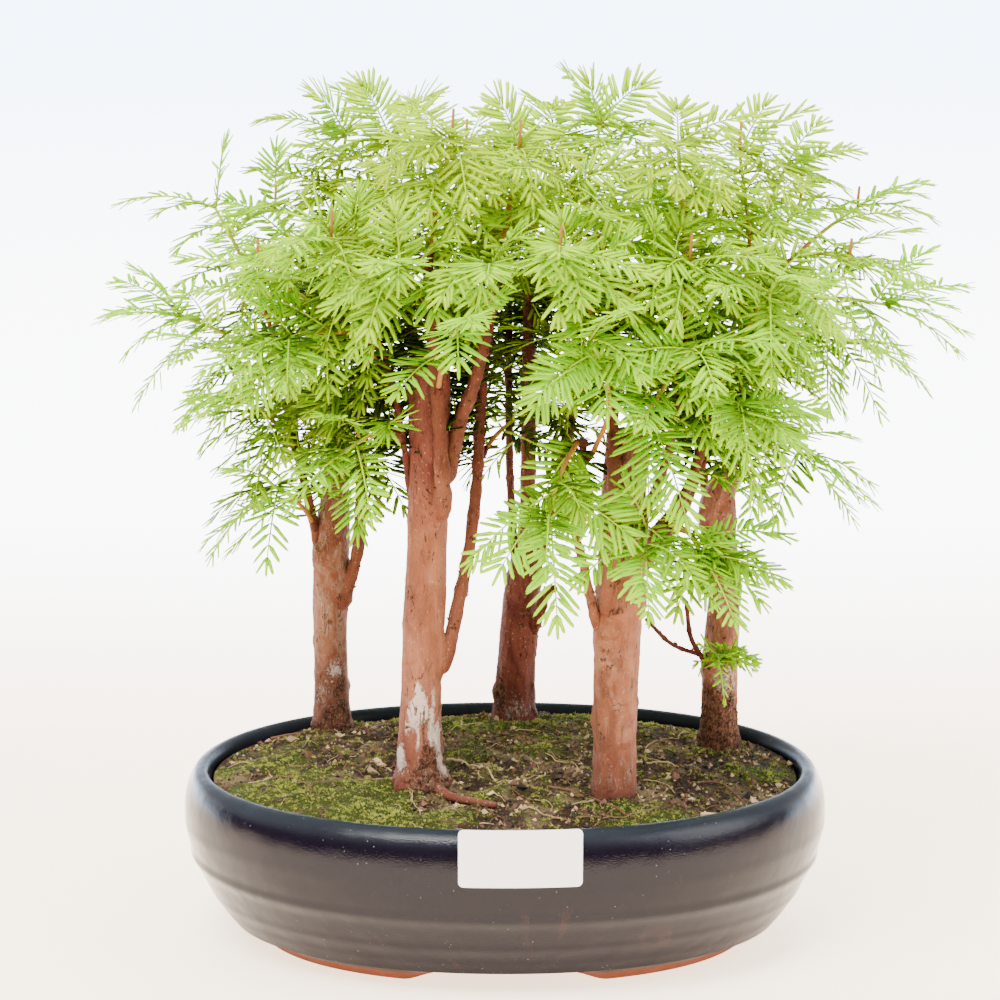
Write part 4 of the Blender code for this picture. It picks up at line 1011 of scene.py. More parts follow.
def screen_finish():
    """Black drain-hole mesh, slightly dusty."""
    paint = Paint("screen_mesh")
    dust = paint.clouds(500.0, 4.0)
    return paint.set(Base_Color=paint.mix(dust, rgb(20, 20, 20), rgb(66, 58, 48)),
                     Roughness=0.5 + dust * 0.3)


def oval(inset, height, sides):
    """Rings of the tray's oval |x/a|^n + |y/b|^n = 1, set in from its bulge, one for each inset."""
    angle = circle(sides)
    power = 2.0 / TRAY_FULLNESS
    c, s = np.cos(angle), np.sin(angle)
    inset, height = np.asarray(inset, float)[:, None], np.asarray(height, float)[:, None]
    x = (TRAY_A - inset) * np.sign(c) * np.abs(c) ** power
    y = (TRAY_B - inset) * np.sign(s) * np.abs(s) ** power
    return np.stack([x, y, np.broadcast_to(height, x.shape)], axis=-1)


def foot_rise(sides):
    """Height of the foot ring's lower edge: zero on the feet, and a smooth arch between them."""
    degrees = np.arange(sides) * 360.0 / sides
    away = np.min([degrees_apart(degrees, m) for m in FOOT_MIDDLES], axis=0)
    t = np.clip((away - FOOT_HALF_SPAN) / ARCH_SPAN, 0, 1)
    return FOOT_LIFT * t * t * (3 - 2 * t)


def tray_rings(sides):
    """The tray's rings, and which of them make the wall. The profile (inset, height) runs from the
    underside over the feet, up the wall, whose inset is a power of the height, over two quarter ellipses
    of the rim and down inside."""
    quarter = np.linspace(0, np.pi / 2, 15)
    belly = BULGE_Z - BELLY_DROP
    z = np.linspace(WALL_FOOT[1] + 0.8, belly, 60)
    hollow = WALL_HOLLOW * ((belly - z) / (belly - WALL_FOOT[1])) ** WALL_CURVE
    wall = np.column_stack([hollow, z])
    inset, top = CREST_INSET + CREST_IN, CREST_Z + CREST_UP
    outer = np.column_stack([inset * (1 - np.cos(quarter)), belly + (top - belly) * np.sin(quarter)])
    inner = np.column_stack([inset + (LIP_INSET - inset) * np.sin(quarter),
                             LIP_Z + (top - LIP_Z) * np.cos(quarter)])
    under = [(80.0, UNDER_Z), (FOOT_IN_INNER + 3, UNDER_Z)]
    foot = [(FOOT_IN_INNER + 0.5, 0.6), (FOOT_IN_INNER - 0.3, 0.0),
            (FOOT_IN + 0.5, 0.0), (FOOT_IN - 0.2, 0.5)]
    rings = [oval(*zip(*under), sides)]
    low = oval(*zip(*foot), sides)
    low[..., 2] += foot_rise(sides)
    rings.append(low)
    slope = np.linspace(0.12, 1.0, 8)[:, None]
    join = oval([WALL_FOOT[0]], [WALL_FOOT[1]], sides)
    rings.append(low[-1:] + (join - low[-1:]) * slope[..., None])
    rings += [oval(*wall.T, sides), oval(*outer[1:].T, sides), oval(*inner[1:].T, sides),
              oval(*zip(*INSIDE), sides)]
    start = len(under) + len(foot) + len(slope)
    return np.concatenate(rings), slice(start, start + len(wall))


def raise_ridges(rings, outside):
    """Pushes the wall out by a Gaussian bell at each throwing ridge, whose height wanders round it."""
    flat = rings * (1, 1, 0)
    for k, (level, height, below, above) in enumerate(WALL_RIDGES):
        off = (rings[..., 2] - level - RIDGE_WANDER * noise(flat, 90.0, 50 + k))[outside]
        stand = height * np.exp(-((off / np.where(off < 0, below, above)) ** 2))
        rings[outside, :, :2] *= 1 + (stand / np.linalg.norm(flat[outside], axis=-1))[..., None]


def make_tray():
    """The tray as one turned surface of oval rings, a little uneven as thrown clay is, with two drains."""
    sides = 256
    rings, outside = tray_rings(sides)
    raise_ridges(rings, outside)
    swell = noise(rings, 60.0, 3) * 0.25 + noise(rings, 17.0, 4) * 0.06
    visible = np.clip(rings[..., 2] / 20.0, 0, 1)[..., None]
    rings[..., :2] *= 1 + (swell / 100.0)[..., None] * visible
    middles = np.array([[0, 0, UNDER_Z], [0, 0, FLOOR_Z]])
    points = np.concatenate([rings.reshape(-1, 3), middles])
    pile = Pile()
    pile.add(points, *closed_faces(len(rings), sides))
    tray = pile.piece("glazed_tray", glaze_finish(), "glaze", ("tray",))
    for x in (-DRAIN_X, DRAIN_X):
        cut_drain(tray, x)
    tray.data.shade_smooth()
    tray.data.set_sharp_from_angle(angle=np.radians(40))


def cut_drain(tray, x):
    """Cuts a round drain hole through the tray's floor."""
    pile = Pile()
    path = np.array([[x, 0, UNDER_Z - 4], [x, 0, FLOOR_Z], [x, 0, FLOOR_Z + 4]])
    pile.add(*rod(path, np.full(3, DRAIN_R), 40)[:3])
    cutter = pile.piece("drain_cutter", tray.data.materials[0], "glaze")
    modifier = tray.modifiers.new("drain", "BOOLEAN")
    modifier.object, modifier.operation, modifier.solver = cutter, "DIFFERENCE", "EXACT"
    with bpy.context.temp_override(object=tray, active_object=tray):
        bpy.ops.object.modifier_apply(modifier=modifier.name)
    bpy.data.objects.remove(cutter, do_unlink=True)


def moss_amount(x, y):
    """How much moss grows at a place: the highest of the cushions' Gaussian bells, and wide noise."""
    flat = level_points(x, y)
    bells = [m * np.exp(-((x - px) ** 2 + (y - py) ** 2) / reach**2) for px, py, reach, m in MOSS_PATCHES]
    return np.max(bells, axis=0) + 0.28 * noise(flat, 16.0, 21) + 0.22 * noise(flat, 6.0, 22) + 0.12


def soil_height(x, y):
    """Height of the soil: a low crown that falls to the rim, a swell round each trunk, lumps, cushions
    where moss grows, and small crumbs."""
    r = np.sqrt((x / (TRAY_A - SOIL_INSET)) ** 2 + (y / (TRAY_B - SOIL_INSET)) ** 2)
    z = SOIL_EDGE_Z + SOIL_CROWN * (1 - np.clip(r, 0, 1) ** 4)
    for tree in TREES.values():
        tx, ty = tree["trunk"][1][:2]
        z = z + SWELL * np.exp(-((x - tx) ** 2 + (y - ty) ** 2) / SWELL_REACH**2)
    lumps = LUMPS[0] * np.sin(x / 9.0 + 1.3) * np.cos(y / 8.0) + LUMPS[1] * np.sin(x / 4.6 - y / 6.1)
    flat = level_points(x, y)
    fine = 1.1 * noise(flat, 7.0, 31) + 0.8 * noise(flat, 3.2, 41) + 0.4 * noise(flat, 1.5, 33)
    cushion = 1.8 * np.clip(moss_amount(x, y), 0, 1)
    return z + (lumps + fine + cushion) * np.clip(1 - r**8, 0, 1)


def make_soil():
    """The soil as a closed solid: rings of the tray's oval, shrinking to the middle, laid on the height
    formula, over a plain body that fills the tray."""
    sides = 260
    low = oval(*zip(*SOIL_BODY), sides)
    shares = 1 - np.linspace(0.0, 1.0, 104) ** 1.25 * 0.985
    shares[0] = 0.995
    top = oval([SOIL_INSET - 0.9], [0.0], sides) * shares[:, None, None]
    top[..., 2] = soil_height(top[..., 0], top[..., 1])
    rings = np.concatenate([low, top])
    middles = np.array([[0, 0, FLOOR_Z + GAP], [0, 0, float(soil_height(np.array(0.0), np.array(0.0)))]])
    points = np.concatenate([rings.reshape(-1, 3), middles])
    pile = Pile()
    pile.add(points, *closed_faces(len(rings), sides), moss=moss_amount(points[:, 0], points[:, 1]))
    pile.piece("mossy_soil", soil_finish(), "soil", ("soil",))


def on_soil(rng, count, reach=1.0):
    """Random places on the soil, even over its oval, that no trunk stands on."""
    angle = rng.uniform(0, 2 * np.pi, count)
    share = np.sqrt(rng.uniform(0, 1, count)) * reach
    x = (TRAY_A - SOIL_INSET) * share * np.cos(angle)
    y = (TRAY_B - SOIL_INSET) * share * np.sin(angle)
    free = np.ones(count, bool)
    for tree in TREES.values():
        tx, ty, _, r = tree["trunk"][1]
        free &= (x - tx) ** 2 + (y - ty) ** 2 > (r - 0.5) ** 2
    return x[free], y[free]


def spikes(base, tip, half):
    """Little three-sided spikes: a triangle of the given half width round each base, and a tip."""
    way = unit(tip - base)
    one = unit(np.cross(way, np.array([0.31, 0.77, 0.56])))
    two = np.cross(way, one)
    angle = circle(3)
    ring = np.cos(angle)[None, :, None] * one[:, None] + np.sin(angle)[None, :, None] * two[:, None]
    ring = base[:, None] + ring * half[:, None, None]
    points = np.concatenate([ring, tip[:, None]], axis=1).reshape(-1, 3)
    start = np.arange(len(base))[:, None, None] * 4
    triangles = (np.array([[0, 1, 3], [1, 2, 3], [2, 0, 3], [0, 2, 1]])[None] + start).reshape(-1, 3)
    return points, triangles


def make_moss(rng):
    """Moss: little stars of four leaves, an upright one and three that lean out, thick where the moss
    cushions are. They stand high on the clumps and low in the gaps between them, with painted light on the
    clumps and painted shade in the gaps and at each leaf's base."""
    x, y = on_soil(rng, MOSS_TRIES)
    amount = moss_amount(x, y)
    clump = noise(level_points(x, y), 3.2, 41)
    keep = amount + rng.normal(0, 0.10, len(x)) + 0.35 * clump > 0.12
    x, y, amount, clump = x[keep], y[keep], amount[keep], clump[keep]
    root = np.stack([x, y, soil_height(x, y) - 0.5 + 0.6 * clump], axis=-1)
    # Tone: yellower where the moss is thick and at random, and lighter on the clumps as painted light
    tone = np.clip(0.20 + 0.58 * amount + 0.5 * clump + rng.normal(0, 0.32, len(x)), 0, 1)
    tall = rng.uniform(0.95, 1.75, len(x)) * (0.8 + 0.35 * np.clip(amount, 0, 1))
    halves = {"front": (Pile(), y < 0), "back": (Pile(), y >= 0)}
    spin = rng.uniform(0, 2 * np.pi, len(x))
    for k in range(4):
        turn = spin + k * 2 * np.pi / 3 + rng.normal(0, 0.3, len(x))
        lean = rng.uniform(0.5, 1.2, len(x)) if k else np.full(len(x), 0.1)
        way = unit(np.stack([np.cos(turn) * lean, np.sin(turn) * lean, np.ones(len(x))], axis=-1))
        tip = root + way * (tall * rng.uniform(0.75, 1.1, len(x)))[:, None]
        # Painted shade: dark at each leaf's base, and less bright at its tip in the gaps between clumps
        depth = np.column_stack([np.full((len(x), 3), 0.15), 0.8 + 0.3 * clump])
        for pile, here in halves.values():
            points, triangles = spikes(root[here], tip[here], np.full(here.sum(), MOSS_LEAF))
            pile.add(points, [], triangles, tone=np.repeat(tone[here], 4), depth=depth[here].ravel())
    finish = moss_finish()
    for side, (pile, _) in halves.items():
        pile.piece(f"moss_cushions_{side}", finish, "soil", smooth=False)


def add_crumbs(pile, rng):
    """Crumbs of earth where little moss grows: octahedra with every corner moved at random."""
    x, y = on_soil(rng, CRUMB_TRIES)
    keep = moss_amount(x, y) < rng.uniform(0.1, 0.5, len(x))
    x, y = x[keep], y[keep]
    size = rng.gamma(2.5, 0.2, len(x)) + 0.25
    middle = np.stack([x, y, soil_height(x, y) + size * 0.3], axis=-1)
    corners = np.array([[1, 0, 0], [0, 1, 0], [-1, 0, 0], [0, -1, 0], [0, 0, 1], [0, 0, -1]], float)
    shape = corners[None] + rng.normal(0, 0.28, (len(x), 6, 3))
    points = (middle[:, None] + shape * size[:, None, None]).reshape(-1, 3)
    faces = np.array([[0, 1, 4], [1, 2, 4], [2, 3, 4], [3, 0, 4],
                      [1, 0, 5], [2, 1, 5], [3, 2, 5], [0, 3, 5]])
    triangles = (faces[None] + np.arange(len(x))[:, None, None] * 6).reshape(-1, 3)
    tone = rng.gamma(1.2, 0.24, len(x)) + 0.45 * (rng.uniform(0, 1, len(x)) < 0.3)
    pile.add(points, [], triangles, tone=np.repeat(np.clip(tone, 0, 0.95), 6))


def add_rootlet(pile, rng):
    """A rootlet, dry needle or straw that lies on the soil, curls, and arches a little off it."""
    (cx,), (cy,) = (v[:1] for v in on_soil(rng, 40, 0.93))
    length = rng.choice([rng.uniform(6, 12), rng.uniform(10, 26)], p=[0.6, 0.4])
    turn, curl = rng.uniform(0, 2 * np.pi), rng.normal(0, 0.9)
    t = np.linspace(-0.5, 0.5, 8)
    heading = turn + curl * t + 0.35 * np.sin(t * rng.uniform(5, 12))
    step = length / 7
    px = cx + np.cumsum(np.cos(heading)) * step - np.cos(turn) * length / 2
    py = cy + np.cumsum(np.sin(heading)) * step - np.sin(turn) * length / 2
    inside = (px / (TRAY_A - SOIL_INSET)) ** 2 + (py / (TRAY_B - SOIL_INSET)) ** 2 < 0.94
    if not inside.all():
        return
    radius = rng.uniform(*ROOTLET_R)
    lift = radius * 0.5 + 0.9 * np.sin(np.linspace(0, np.pi, 8)) * rng.uniform(0.0, 1.6)
    path = np.stack([px, py, soil_height(px, py) + lift], axis=-1)
    points, quads, ends, _ = rod(path, radius * np.linspace(1.0, 0.5, 8), 4)
    pile.add(points, quads, ends, tone=np.clip(rng.normal(0.48, 0.26), 0, 1))


def add_runner(pile, places, thick, tone):
    """A root or straw that runs over chosen places on the soil and thins towards its end."""
    flat, radii = smooth_path(np.array([(*place, 0) for place in places], float),
                              np.linspace(thick, thick * 0.6, len(places)), 24)
    flat[:, 2] = soil_height(flat[:, 0], flat[:, 1]) + radii * 0.8 + 0.3
    points, quads, ends, _ = rod(flat, radii, 6)
    pile.add(points, quads, ends, tone=tone)


def make_litter(rng):
    """Crumbs of earth, and the rootlets, dry needles and straws that lie on them."""
    pile = Pile()
    add_crumbs(pile, rng)
    for _ in range(ROOTLETS):
        add_rootlet(pile, rng)
    for places, thick, tone in RUNNERS:
        add_runner(pile, places, thick, tone)
    pile.piece("earth_litter", litter_finish(), "soil", smooth=False)


def make_label():
    """A blank label: a rectangle with quarter circles at its corners, on a thin plate that follows the
    tray's bulge across and stands straight up."""
    across = np.linspace(-1, 1, 41)
    half_x, half_z = np.ptp(LABEL_X) / 2, np.ptp(LABEL_Z) / 2
    mid_x, mid_z = np.mean(LABEL_X), np.mean(LABEL_Z)
    x = np.sin(across * np.pi / 2) * half_x
    over = np.clip(np.abs(x) - (half_x - LABEL_ROUND), 0, None)
    tall = half_z - LABEL_ROUND + np.sqrt(np.clip(LABEL_ROUND**2 - over**2, 1e-4, None))
    low, high = [], []
    for extra, shrink in ((GAP, 0.0), (GAP + LABEL_THICK * 0.8, 0.0), (GAP + LABEL_THICK, 0.12),
                          (GAP + LABEL_THICK, 3.0)):
        bend = np.abs((x + mid_x) / (TRAY_A + extra)) ** TRAY_FULLNESS
        y = -(TRAY_B + extra) * (1 - bend) ** (1 / TRAY_FULLNESS)
        edge, rise = 1 - shrink / half_x, tall * (1 - shrink / half_z)
        low.append(np.column_stack([x * edge + mid_x, y, mid_z - rise]))
        high.append(np.column_stack([x * edge + mid_x, y, mid_z + rise]))
    loops = np.stack(low + high[::-1], axis=1)
    points = np.concatenate([loops.reshape(-1, 3), loops[:1].mean(axis=1), loops[-1:].mean(axis=1)])
    pile = Pile()
    pile.add(points, *closed_faces(*loops.shape[:2]))
    made = pile.piece("blank_label", label_finish(), "label", ("label",))
    made.data.set_sharp_from_angle(angle=np.radians(35))


def patches(spots, z, degrees):
    """The strongest of some Gaussian bells over height and angle round a trunk."""
    if not spots:
        return np.zeros_like(z)
    turn = [degrees_apart(degrees, angle) for _, angle, _, _, _ in spots]
    bells = [amount * np.exp(-(((z - height) / tall) ** 2) - (away / wide) ** 2)
             for (height, _, tall, wide, amount), away in zip(spots, turn)]
    return np.max(bells, axis=0)


def scattered_scars(top, seed):
    """Small scars at random places up to a trunk's top: height, degrees, half height and bulge."""
    rng = np.random.default_rng(seed)
    return [(rng.uniform(80, top - 6), rng.uniform(0, 360), rng.uniform(1.1, 2.2), rng.uniform(0.3, 0.8))
            for _ in range(SCARS)]


def bark_radii(name, around, degrees, radii, scars, seed):
    """A trunk's radius all over: shallow flutes, fibrous ribs that run up it, crust, knots as Gaussian
    bulges with a crease round them, and a spread foot."""
    z = around[..., 2]
    relief = 0.55 * noise(around * (1, 1, 0.22), 5.0, seed)
    relief += 0.26 * noise(around * (1, 1, 0.3), 1.9, seed + 1)
    relief += 0.7 * noise(around * (1, 1, 0.35), 13.0, seed + 2) + 0.14 * noise(around, 0.9, seed + 3)
    crust = patches(BARK[name]["dark"], z, degrees) + 0.5 * patches(BARK[name]["white"], z, degrees)
    relief += 0.7 * crust * noise(around, 1.6, seed + 4)
    for height, turn, tall, bulge in KNOTS[name] + scars:
        away = degrees_apart(degrees, turn) * np.pi / 180 * radii[:, None]
        far = np.sqrt(((z - height) / tall) ** 2 + (away / (tall * 0.8)) ** 2)
        relief += bulge * (np.exp(-(far**2)) - 0.28 * np.exp(-(((far - 1.25) / 0.22) ** 2)))
    spread = 1.3 * np.exp(-(((z - 78) / 7.0) ** 2)) * (0.6 + 0.6 * noise(around * (1, 1, 0), 9.0, seed + 5))
    return radii[:, None] + relief + spread


def sawn_top(edge, middle, seed):
    """Rings that close a trunk's sawn top, rounded at the edge and rough across."""
    caps = []
    for share, drop in TOP_RINGS:
        cap = edge * 1.0
        cap[:, :2] = middle + (cap[:, :2] - middle) * share
        cap[:, 2] += 0.4 - drop + 0.5 * noise(cap, 2.2, seed)
        caps.append(cap)
    return caps


def bark_values(name, z, degrees, scars, top):
    """What the bark's finish reads at a trunk's points, and at those of its sawn top and its two ends."""
    more = len(TOP_RINGS) * z.shape[1]
    marks = [(height + 0.4 * tall, turn, tall * 0.7, np.degrees(tall / 9), 0.9)
             for height, turn, tall, _ in scars]
    base = np.exp(-((z - FOOT_RED[0]) / FOOT_RED[1]) ** 2)
    # Painted shade of the crown: the bark turns to darker rust towards the top
    crown = np.clip((z - top + TOP_PAINTED_SHADE[0]) / TOP_PAINTED_SHADE[1], 0, 1)
    red = BARK[name]["red"] + FOOT_RED[2] * base + TOP_PAINTED_SHADE[2] * crown
    values = {"red": np.concatenate([red.ravel(), np.full(more + 2, 0.3)]),
              "grey": BARK[name]["grey"], "woody": 0.0,
              "cut": np.concatenate([np.zeros(z.size), np.ones(more), [0.0, 1.0]])}
    for kind, others in (("white", []), ("dark", marks)):
        grown = patches(BARK[name][kind] + others, z, degrees)
        values[kind] = np.concatenate([grown.ravel(), np.zeros(more + 2)])
    return values


def add_trunk(pile, name):
    """A trunk: its smooth path, with the bark's radius round it, and a rough sawn top."""
    stations = np.array(TREES[name]["trunk"], float)
    rows, sides = 150, 80
    path, radii = smooth_path(stations[:, :3], stations[:, 3], rows)
    angle = circle(sides)
    ring = np.stack([np.cos(angle), np.sin(angle)], axis=-1)
    degrees = (np.degrees(angle) + 90)[None] + np.zeros((rows, 1))
    z = path[:, 2][:, None] + np.zeros((1, sides))
    around = np.concatenate([ring[None] * radii[:, None, None], z[..., None]], axis=-1)
    seed, top = int(name[-1]) * 7, stations[-1, 2]
    scars = scattered_scars(top, seed)
    wide = bark_radii(name, around, degrees, radii, scars, seed)
    body = np.concatenate([path[:, None, :2] + wide[..., None] * ring[None], z[..., None]], axis=-1)
    rings = np.concatenate([body, sawn_top(body[-1], path[-1, :2], seed + 6)])
    points = np.concatenate([rings.reshape(-1, 3), path[:1], path[-1:] - (0, 0, 0.4)])
    pile.add(points, *closed_faces(len(rings), sides), **bark_values(name, z, degrees, scars, top))


def add_limb(pile, name, path, radii, rng, rows, sides):
    """A limb or twig: its smooth path and radius, flared where it leaves the wood below, with swollen
    rings and small buds."""
    line, wide = smooth_path(path, radii, rows)
    walked = distances(line)
    big = radii[0] > TWIG_R[0]
    if big:
        inside = np.linalg.norm(path[1] - path[0])
        wide = wide * (LIMB_FULLER + 1.0 * np.exp(-np.clip(walked - inside * 0.6, 0, None) / 7.5))
    else:
        wide = wide * (1 + 0.5 * np.exp(-walked / 2.5))
    for place in np.arange(rng.uniform(4, 10), walked[-1], 11.0):
        wide = wide + 0.4 * np.exp(-(((walked - place) / 1.1) ** 2))
    angle = circle(sides)[None]
    around = np.stack([np.cos(angle) * 3 + 0 * walked[:, None], np.sin(angle) * 3 + 0 * walked[:, None],
                       walked[:, None] * 0.35 + 0 * angle], axis=-1)
    relief = 1 + 0.13 * noise(around, 2.4, 5 + rng.integers(1000)) + 0.06 * noise(around, 1.0, 77)
    spots = rng.integers(rows // 4, rows - 1, int(walked[-1] / 7))
    turn = rng.uniform(0, 2 * np.pi, len(spots))
    way = unit(np.gradient(line, axis=0))[spots]
    outward = unit(np.cross(way, np.stack([np.cos(turn), np.sin(turn), 0 * turn], axis=-1)))
    bud = line[spots] + outward * (wide[spots, None] - 0.3)
    bud_points, bud_faces = spikes(bud, bud + (outward + 0.7 * way) * 1.5, np.full(len(spots), 0.8))
    pile.add(bud_points, [], bud_faces, red=0.6, grey=0.0, woody=1.0, cut=0.0, white=0.0, dark=0.5)
    points, quads, ends, share = rod(line, wide[:, None] * relief, sides)
    woody = np.clip(0.35 + share * 0.7, 0, 1) if big else 1.0
    pile.add(points, quads, ends, red=BARK[name]["red"], grey=0.05, woody=woody, cut=0.0, white=0.0,
             dark=0.1)


def make_tree(name, wood, rng):
    """One tree: trunk, limbs and woody twigs, and the second one's surface root."""
    pile = Pile()
    add_trunk(pile, name)
    for path, radii in wood:
        rows, sides = (9, 8) if len(path) == TWIG_POINTS else (12 * len(path), 14)
        add_limb(pile, name, path, radii, rng, rows, sides)
    if name == "tree_2":
        walk = np.array(ROOT_WALK, float)
        radii = np.linspace(*ROOT_R, len(walk))
        plain = SOIL_EDGE_Z + SOIL_CROWN + SWELL * 0.5
        height = np.maximum(soil_height(*walk.T), plain - 1.5) + radii * (0.6, 0.5, 0.4, -0.1)
        walk = np.column_stack([walk, height])
        line, wide = smooth_path(walk, radii, 40)
        points, quads, ends, _ = rod(line, wide * (1 + 0.12 * noise(line, 4.0, 9)), 12)
        pile.add(points, quads, ends, red=0.7, grey=0.0, woody=0.5, cut=0.0, white=0.25, dark=0.2)
    pile.piece(f"{name}_bark", BARK_FINISH, "bark", (name,))


def needles(base, way, side, face, back, length, width, bow):
    """Soft flat needles, all at once. Each starts at a point, has two three-cornered sections, two edges
    and a keel below them, at shares 0.26 and 0.88 of its length, and ends at a tip; its line bends away
    from back by bow times the square of the share. Returns points, triangles and the share along each."""
    shares, wides = np.array([0.26, 0.88]), np.array([1.0, 0.74])
    count = len(base)
    line = base[:, None] + length[:, None, None] * (
        way[:, None] * shares[:, None] - back[:, None] * (bow[:, None] * shares**2)[..., None])
    half = (0.5 * width[:, None] * wides)[..., None]
    edge = side[:, None] * half
    keel = line - face[:, None] * half * 0.5
    sections = np.stack([line - edge, line + edge, keel], axis=2).reshape(count, 6, 3)
    tip = base + length[:, None] * (way - back * bow[:, None])
    points = np.concatenate([base[:, None], sections, tip[:, None]], axis=1)
    faces = np.array([[0, 1, 2], [0, 2, 3], [0, 3, 1], [1, 4, 2], [2, 4, 5], [2, 5, 3], [3, 5, 6],
                      [3, 6, 1], [1, 6, 4], [4, 7, 5], [5, 7, 6], [6, 7, 4]])
    triangles = faces[None, :, ::-1] + np.arange(count)[:, None, None] * 8
    share = np.tile(np.array([0.0, *np.repeat(shares, 3), 1.0]), count)
    return points.reshape(-1, 3), triangles.reshape(-1, 3), share


def add_frond(leaves, stems, rng, root, heading, length, out, leaf, fresh, droop=RIB_DROOP, tilt=0.5):
    """A fine frond: the rib leaves along heading, rises, and droops as the square of the distance.
    Opposite pairs of needles stand along it, wide at the base of the rib and folded forward at its end,
    longest in the middle, each a little out of true and rolled to look outwards."""
    ends = 0.98
    s = np.linspace(0.0, ends, 8)[:, None]
    rib = rib_points(root, heading, length, s, droop)
    radii = 0.52 - 0.26 * s[:, 0]
    points, quads, caps, share = rod(rib, radii, 4)
    stems.add(points, quads, caps, green=np.clip(share * 1.6 + 0.45, 0, 1))
    pitch, needle_wide = NEEDLE_PITCH, NEEDLE_WIDE
    if leaf == LEADER_NEEDLE:
        pitch, needle_wide = LEADER_PITCH, LEADER_WIDE
    pairs = max(4, int(round(length * 0.92 / pitch)))
    s = np.linspace(0.06, ends, pairs)[:, None]
    place = rib_points(root, heading, length, s, droop)
    way = unit(heading + UP * (RIB_RISE - 2 * droop * s))
    face = square_to(way, UP + tilt * out)
    side = np.cross(way, face)
    reach = leaf * (LEAFLET_SWELL[0] + LEAFLET_SWELL[1] * np.sin(np.pi * (0.10 + 0.80 * s[:, 0])))
    reach *= 1.0 - 0.15 * np.clip((s[:, 0] - 0.75) / 0.25, 0, 1)
    lean = np.radians(70.0 - 46.0 * s[:, 0] ** 2.2)
    yellow = np.clip((root[2] - 292.0) / 120.0, 0.0, 0.5)
    for sign in (-1.0, 1.0):
        angle = lean + rng.normal(0, 0.11, pairs)
        lift = 0.10 + rng.normal(0, 0.14, pairs)
        ahead = unit(np.cos(angle)[:, None] * way + np.sin(angle)[:, None] * side * sign
                     + lift[:, None] * face)
        above = square_to(ahead, face + NEEDLE_ROLL * out + rng.normal(0, 0.18, (pairs, 3)))
        long = reach * rng.uniform(0.92, 1.10, pairs)
        wide = needle_wide * np.sqrt(leaf / LEAFLET_LENGTH) * rng.uniform(0.88, 1.08, pairs)
        bow = 0.14 + rng.normal(0, 0.06, pairs)
        points, triangles, share = needles(place, ahead, np.cross(above, ahead), above, face, long, wide,
                                           bow)
        tone = fresh + 0.5 * (s[:, 0] - 0.5) + rng.normal(0, 0.06, pairs)
        leaves.add(points, [], triangles, fresh=np.repeat(tone, 8) + 0.10 * share,
                   yellow=yellow + np.repeat(0.22 * s[:, 0] ** 3, 8) + 0.10 * share**3)
    points, triangles, share = needles(place[-1:], way[-1:], -side[-1:], face[-1:], face[-1:],
                                       np.array([leaf * 0.7]), np.array([NEEDLE_WIDE * 0.85]),
                                       np.array([0.1]))
    leaves.add(points, [], triangles, fresh=fresh + 0.2, yellow=yellow + 0.25 + 0 * share)
    return place[:: max(1, pairs // 4)]


def painted_crown_light(place):
    """Painted light on the leaves: from 0, in painted shade deep inside the crown, to 0.85 at its outside.
    """
    far = np.linalg.norm((place - CROWN_MIDDLE) / CROWN_REACH)
    return float(np.clip((far - 0.42) / 0.5, 0.0, 1.0)) * 0.85


def hides_wood(line):
    """Whether a frond would stand before the wood that shows between the sprays."""
    for x_low, x_high, z_low, z_high, y in OPEN_VIEWS:
        low = line[:, 2] - 0.2 * (y - line[:, 1])
        inside = (line[:, 0] > x_low - OPEN_MARGIN) & (line[:, 0] < x_high + OPEN_MARGIN)
        inside &= (low > z_low) & (low < z_high + OPEN_MARGIN)
        if (inside & (line[:, 1] < y)).any():
            return True
    return False


def clear_line(root, heading, reach, droop):
    """Points on a frond's rib and beyond it, and whether they stay inside the forest's box and off the
    open views."""
    s = np.linspace(0.35, 1.25, 4)[:, None]
    line = rib_points(root, heading, reach, s, droop)
    low, high = ROOM_LOW - ROOM_SPARE + NEEDLE_ROOM, ROOM_HIGH + ROOM_SPARE - NEEDLE_ROOM
    inside = ((line > low) & (line < high)).all()
    return line, inside and not hides_wood(line)


def try_frond(rng, root, way, turn, length, leaf, crowd, near=CROWD_APART):
    """A heading and length for an extra frond: of several tries the one farthest from its neighbours
    whose tips stay inside the forest's box and off the open views."""
    out = from_middle(root)
    best, widest = None, -np.inf
    for attempt in range(FINE_TRIES):
        heading = frond_heading(rng, way, out, turn, 3 * attempt, False, FINE_LIFT)
        reach = length * (1 - 0.03 * attempt)
        droop = rng.uniform(*FINE_DROOP) + FRONT_DROOP * max(0.0, -heading[1])
        line, inside = clear_line(root, heading, reach, droop)
        apart = np.linalg.norm(crowd[None] - line[:, None], axis=-1).min(axis=1).mean()
        score = apart - (0 if inside else OUT_OF_ROOM)
        if score > widest:
            best, widest = (root, heading, reach, out, leaf, droop), score
    edge = np.clip((abs(root[0]) - EDGE_X[0]) / (EDGE_X[1] - EDGE_X[0]), 0, 1)
    return best if widest > near + EDGE_APART * edge else None


def grow_frond(leaves, stems, rng, grown, crowd, lighter=OTHER_FRESH, tilts=(0.0, 0.5)):
    """Adds a frond that was found room for, in a tone of its own, and takes its room."""
    *shape, droop = grown
    # Painted light by the frond's place in the crown, with its kind's offset and a tone of its own
    fresh = painted_crown_light(shape[0] + shape[1] * shape[2]) + lighter + rng.normal(0, 0.17)
    stations = add_frond(leaves, stems, rng, *shape, fresh, droop, rng.uniform(*tilts))
    crowd[-1] = np.concatenate([crowd[-1], stations])


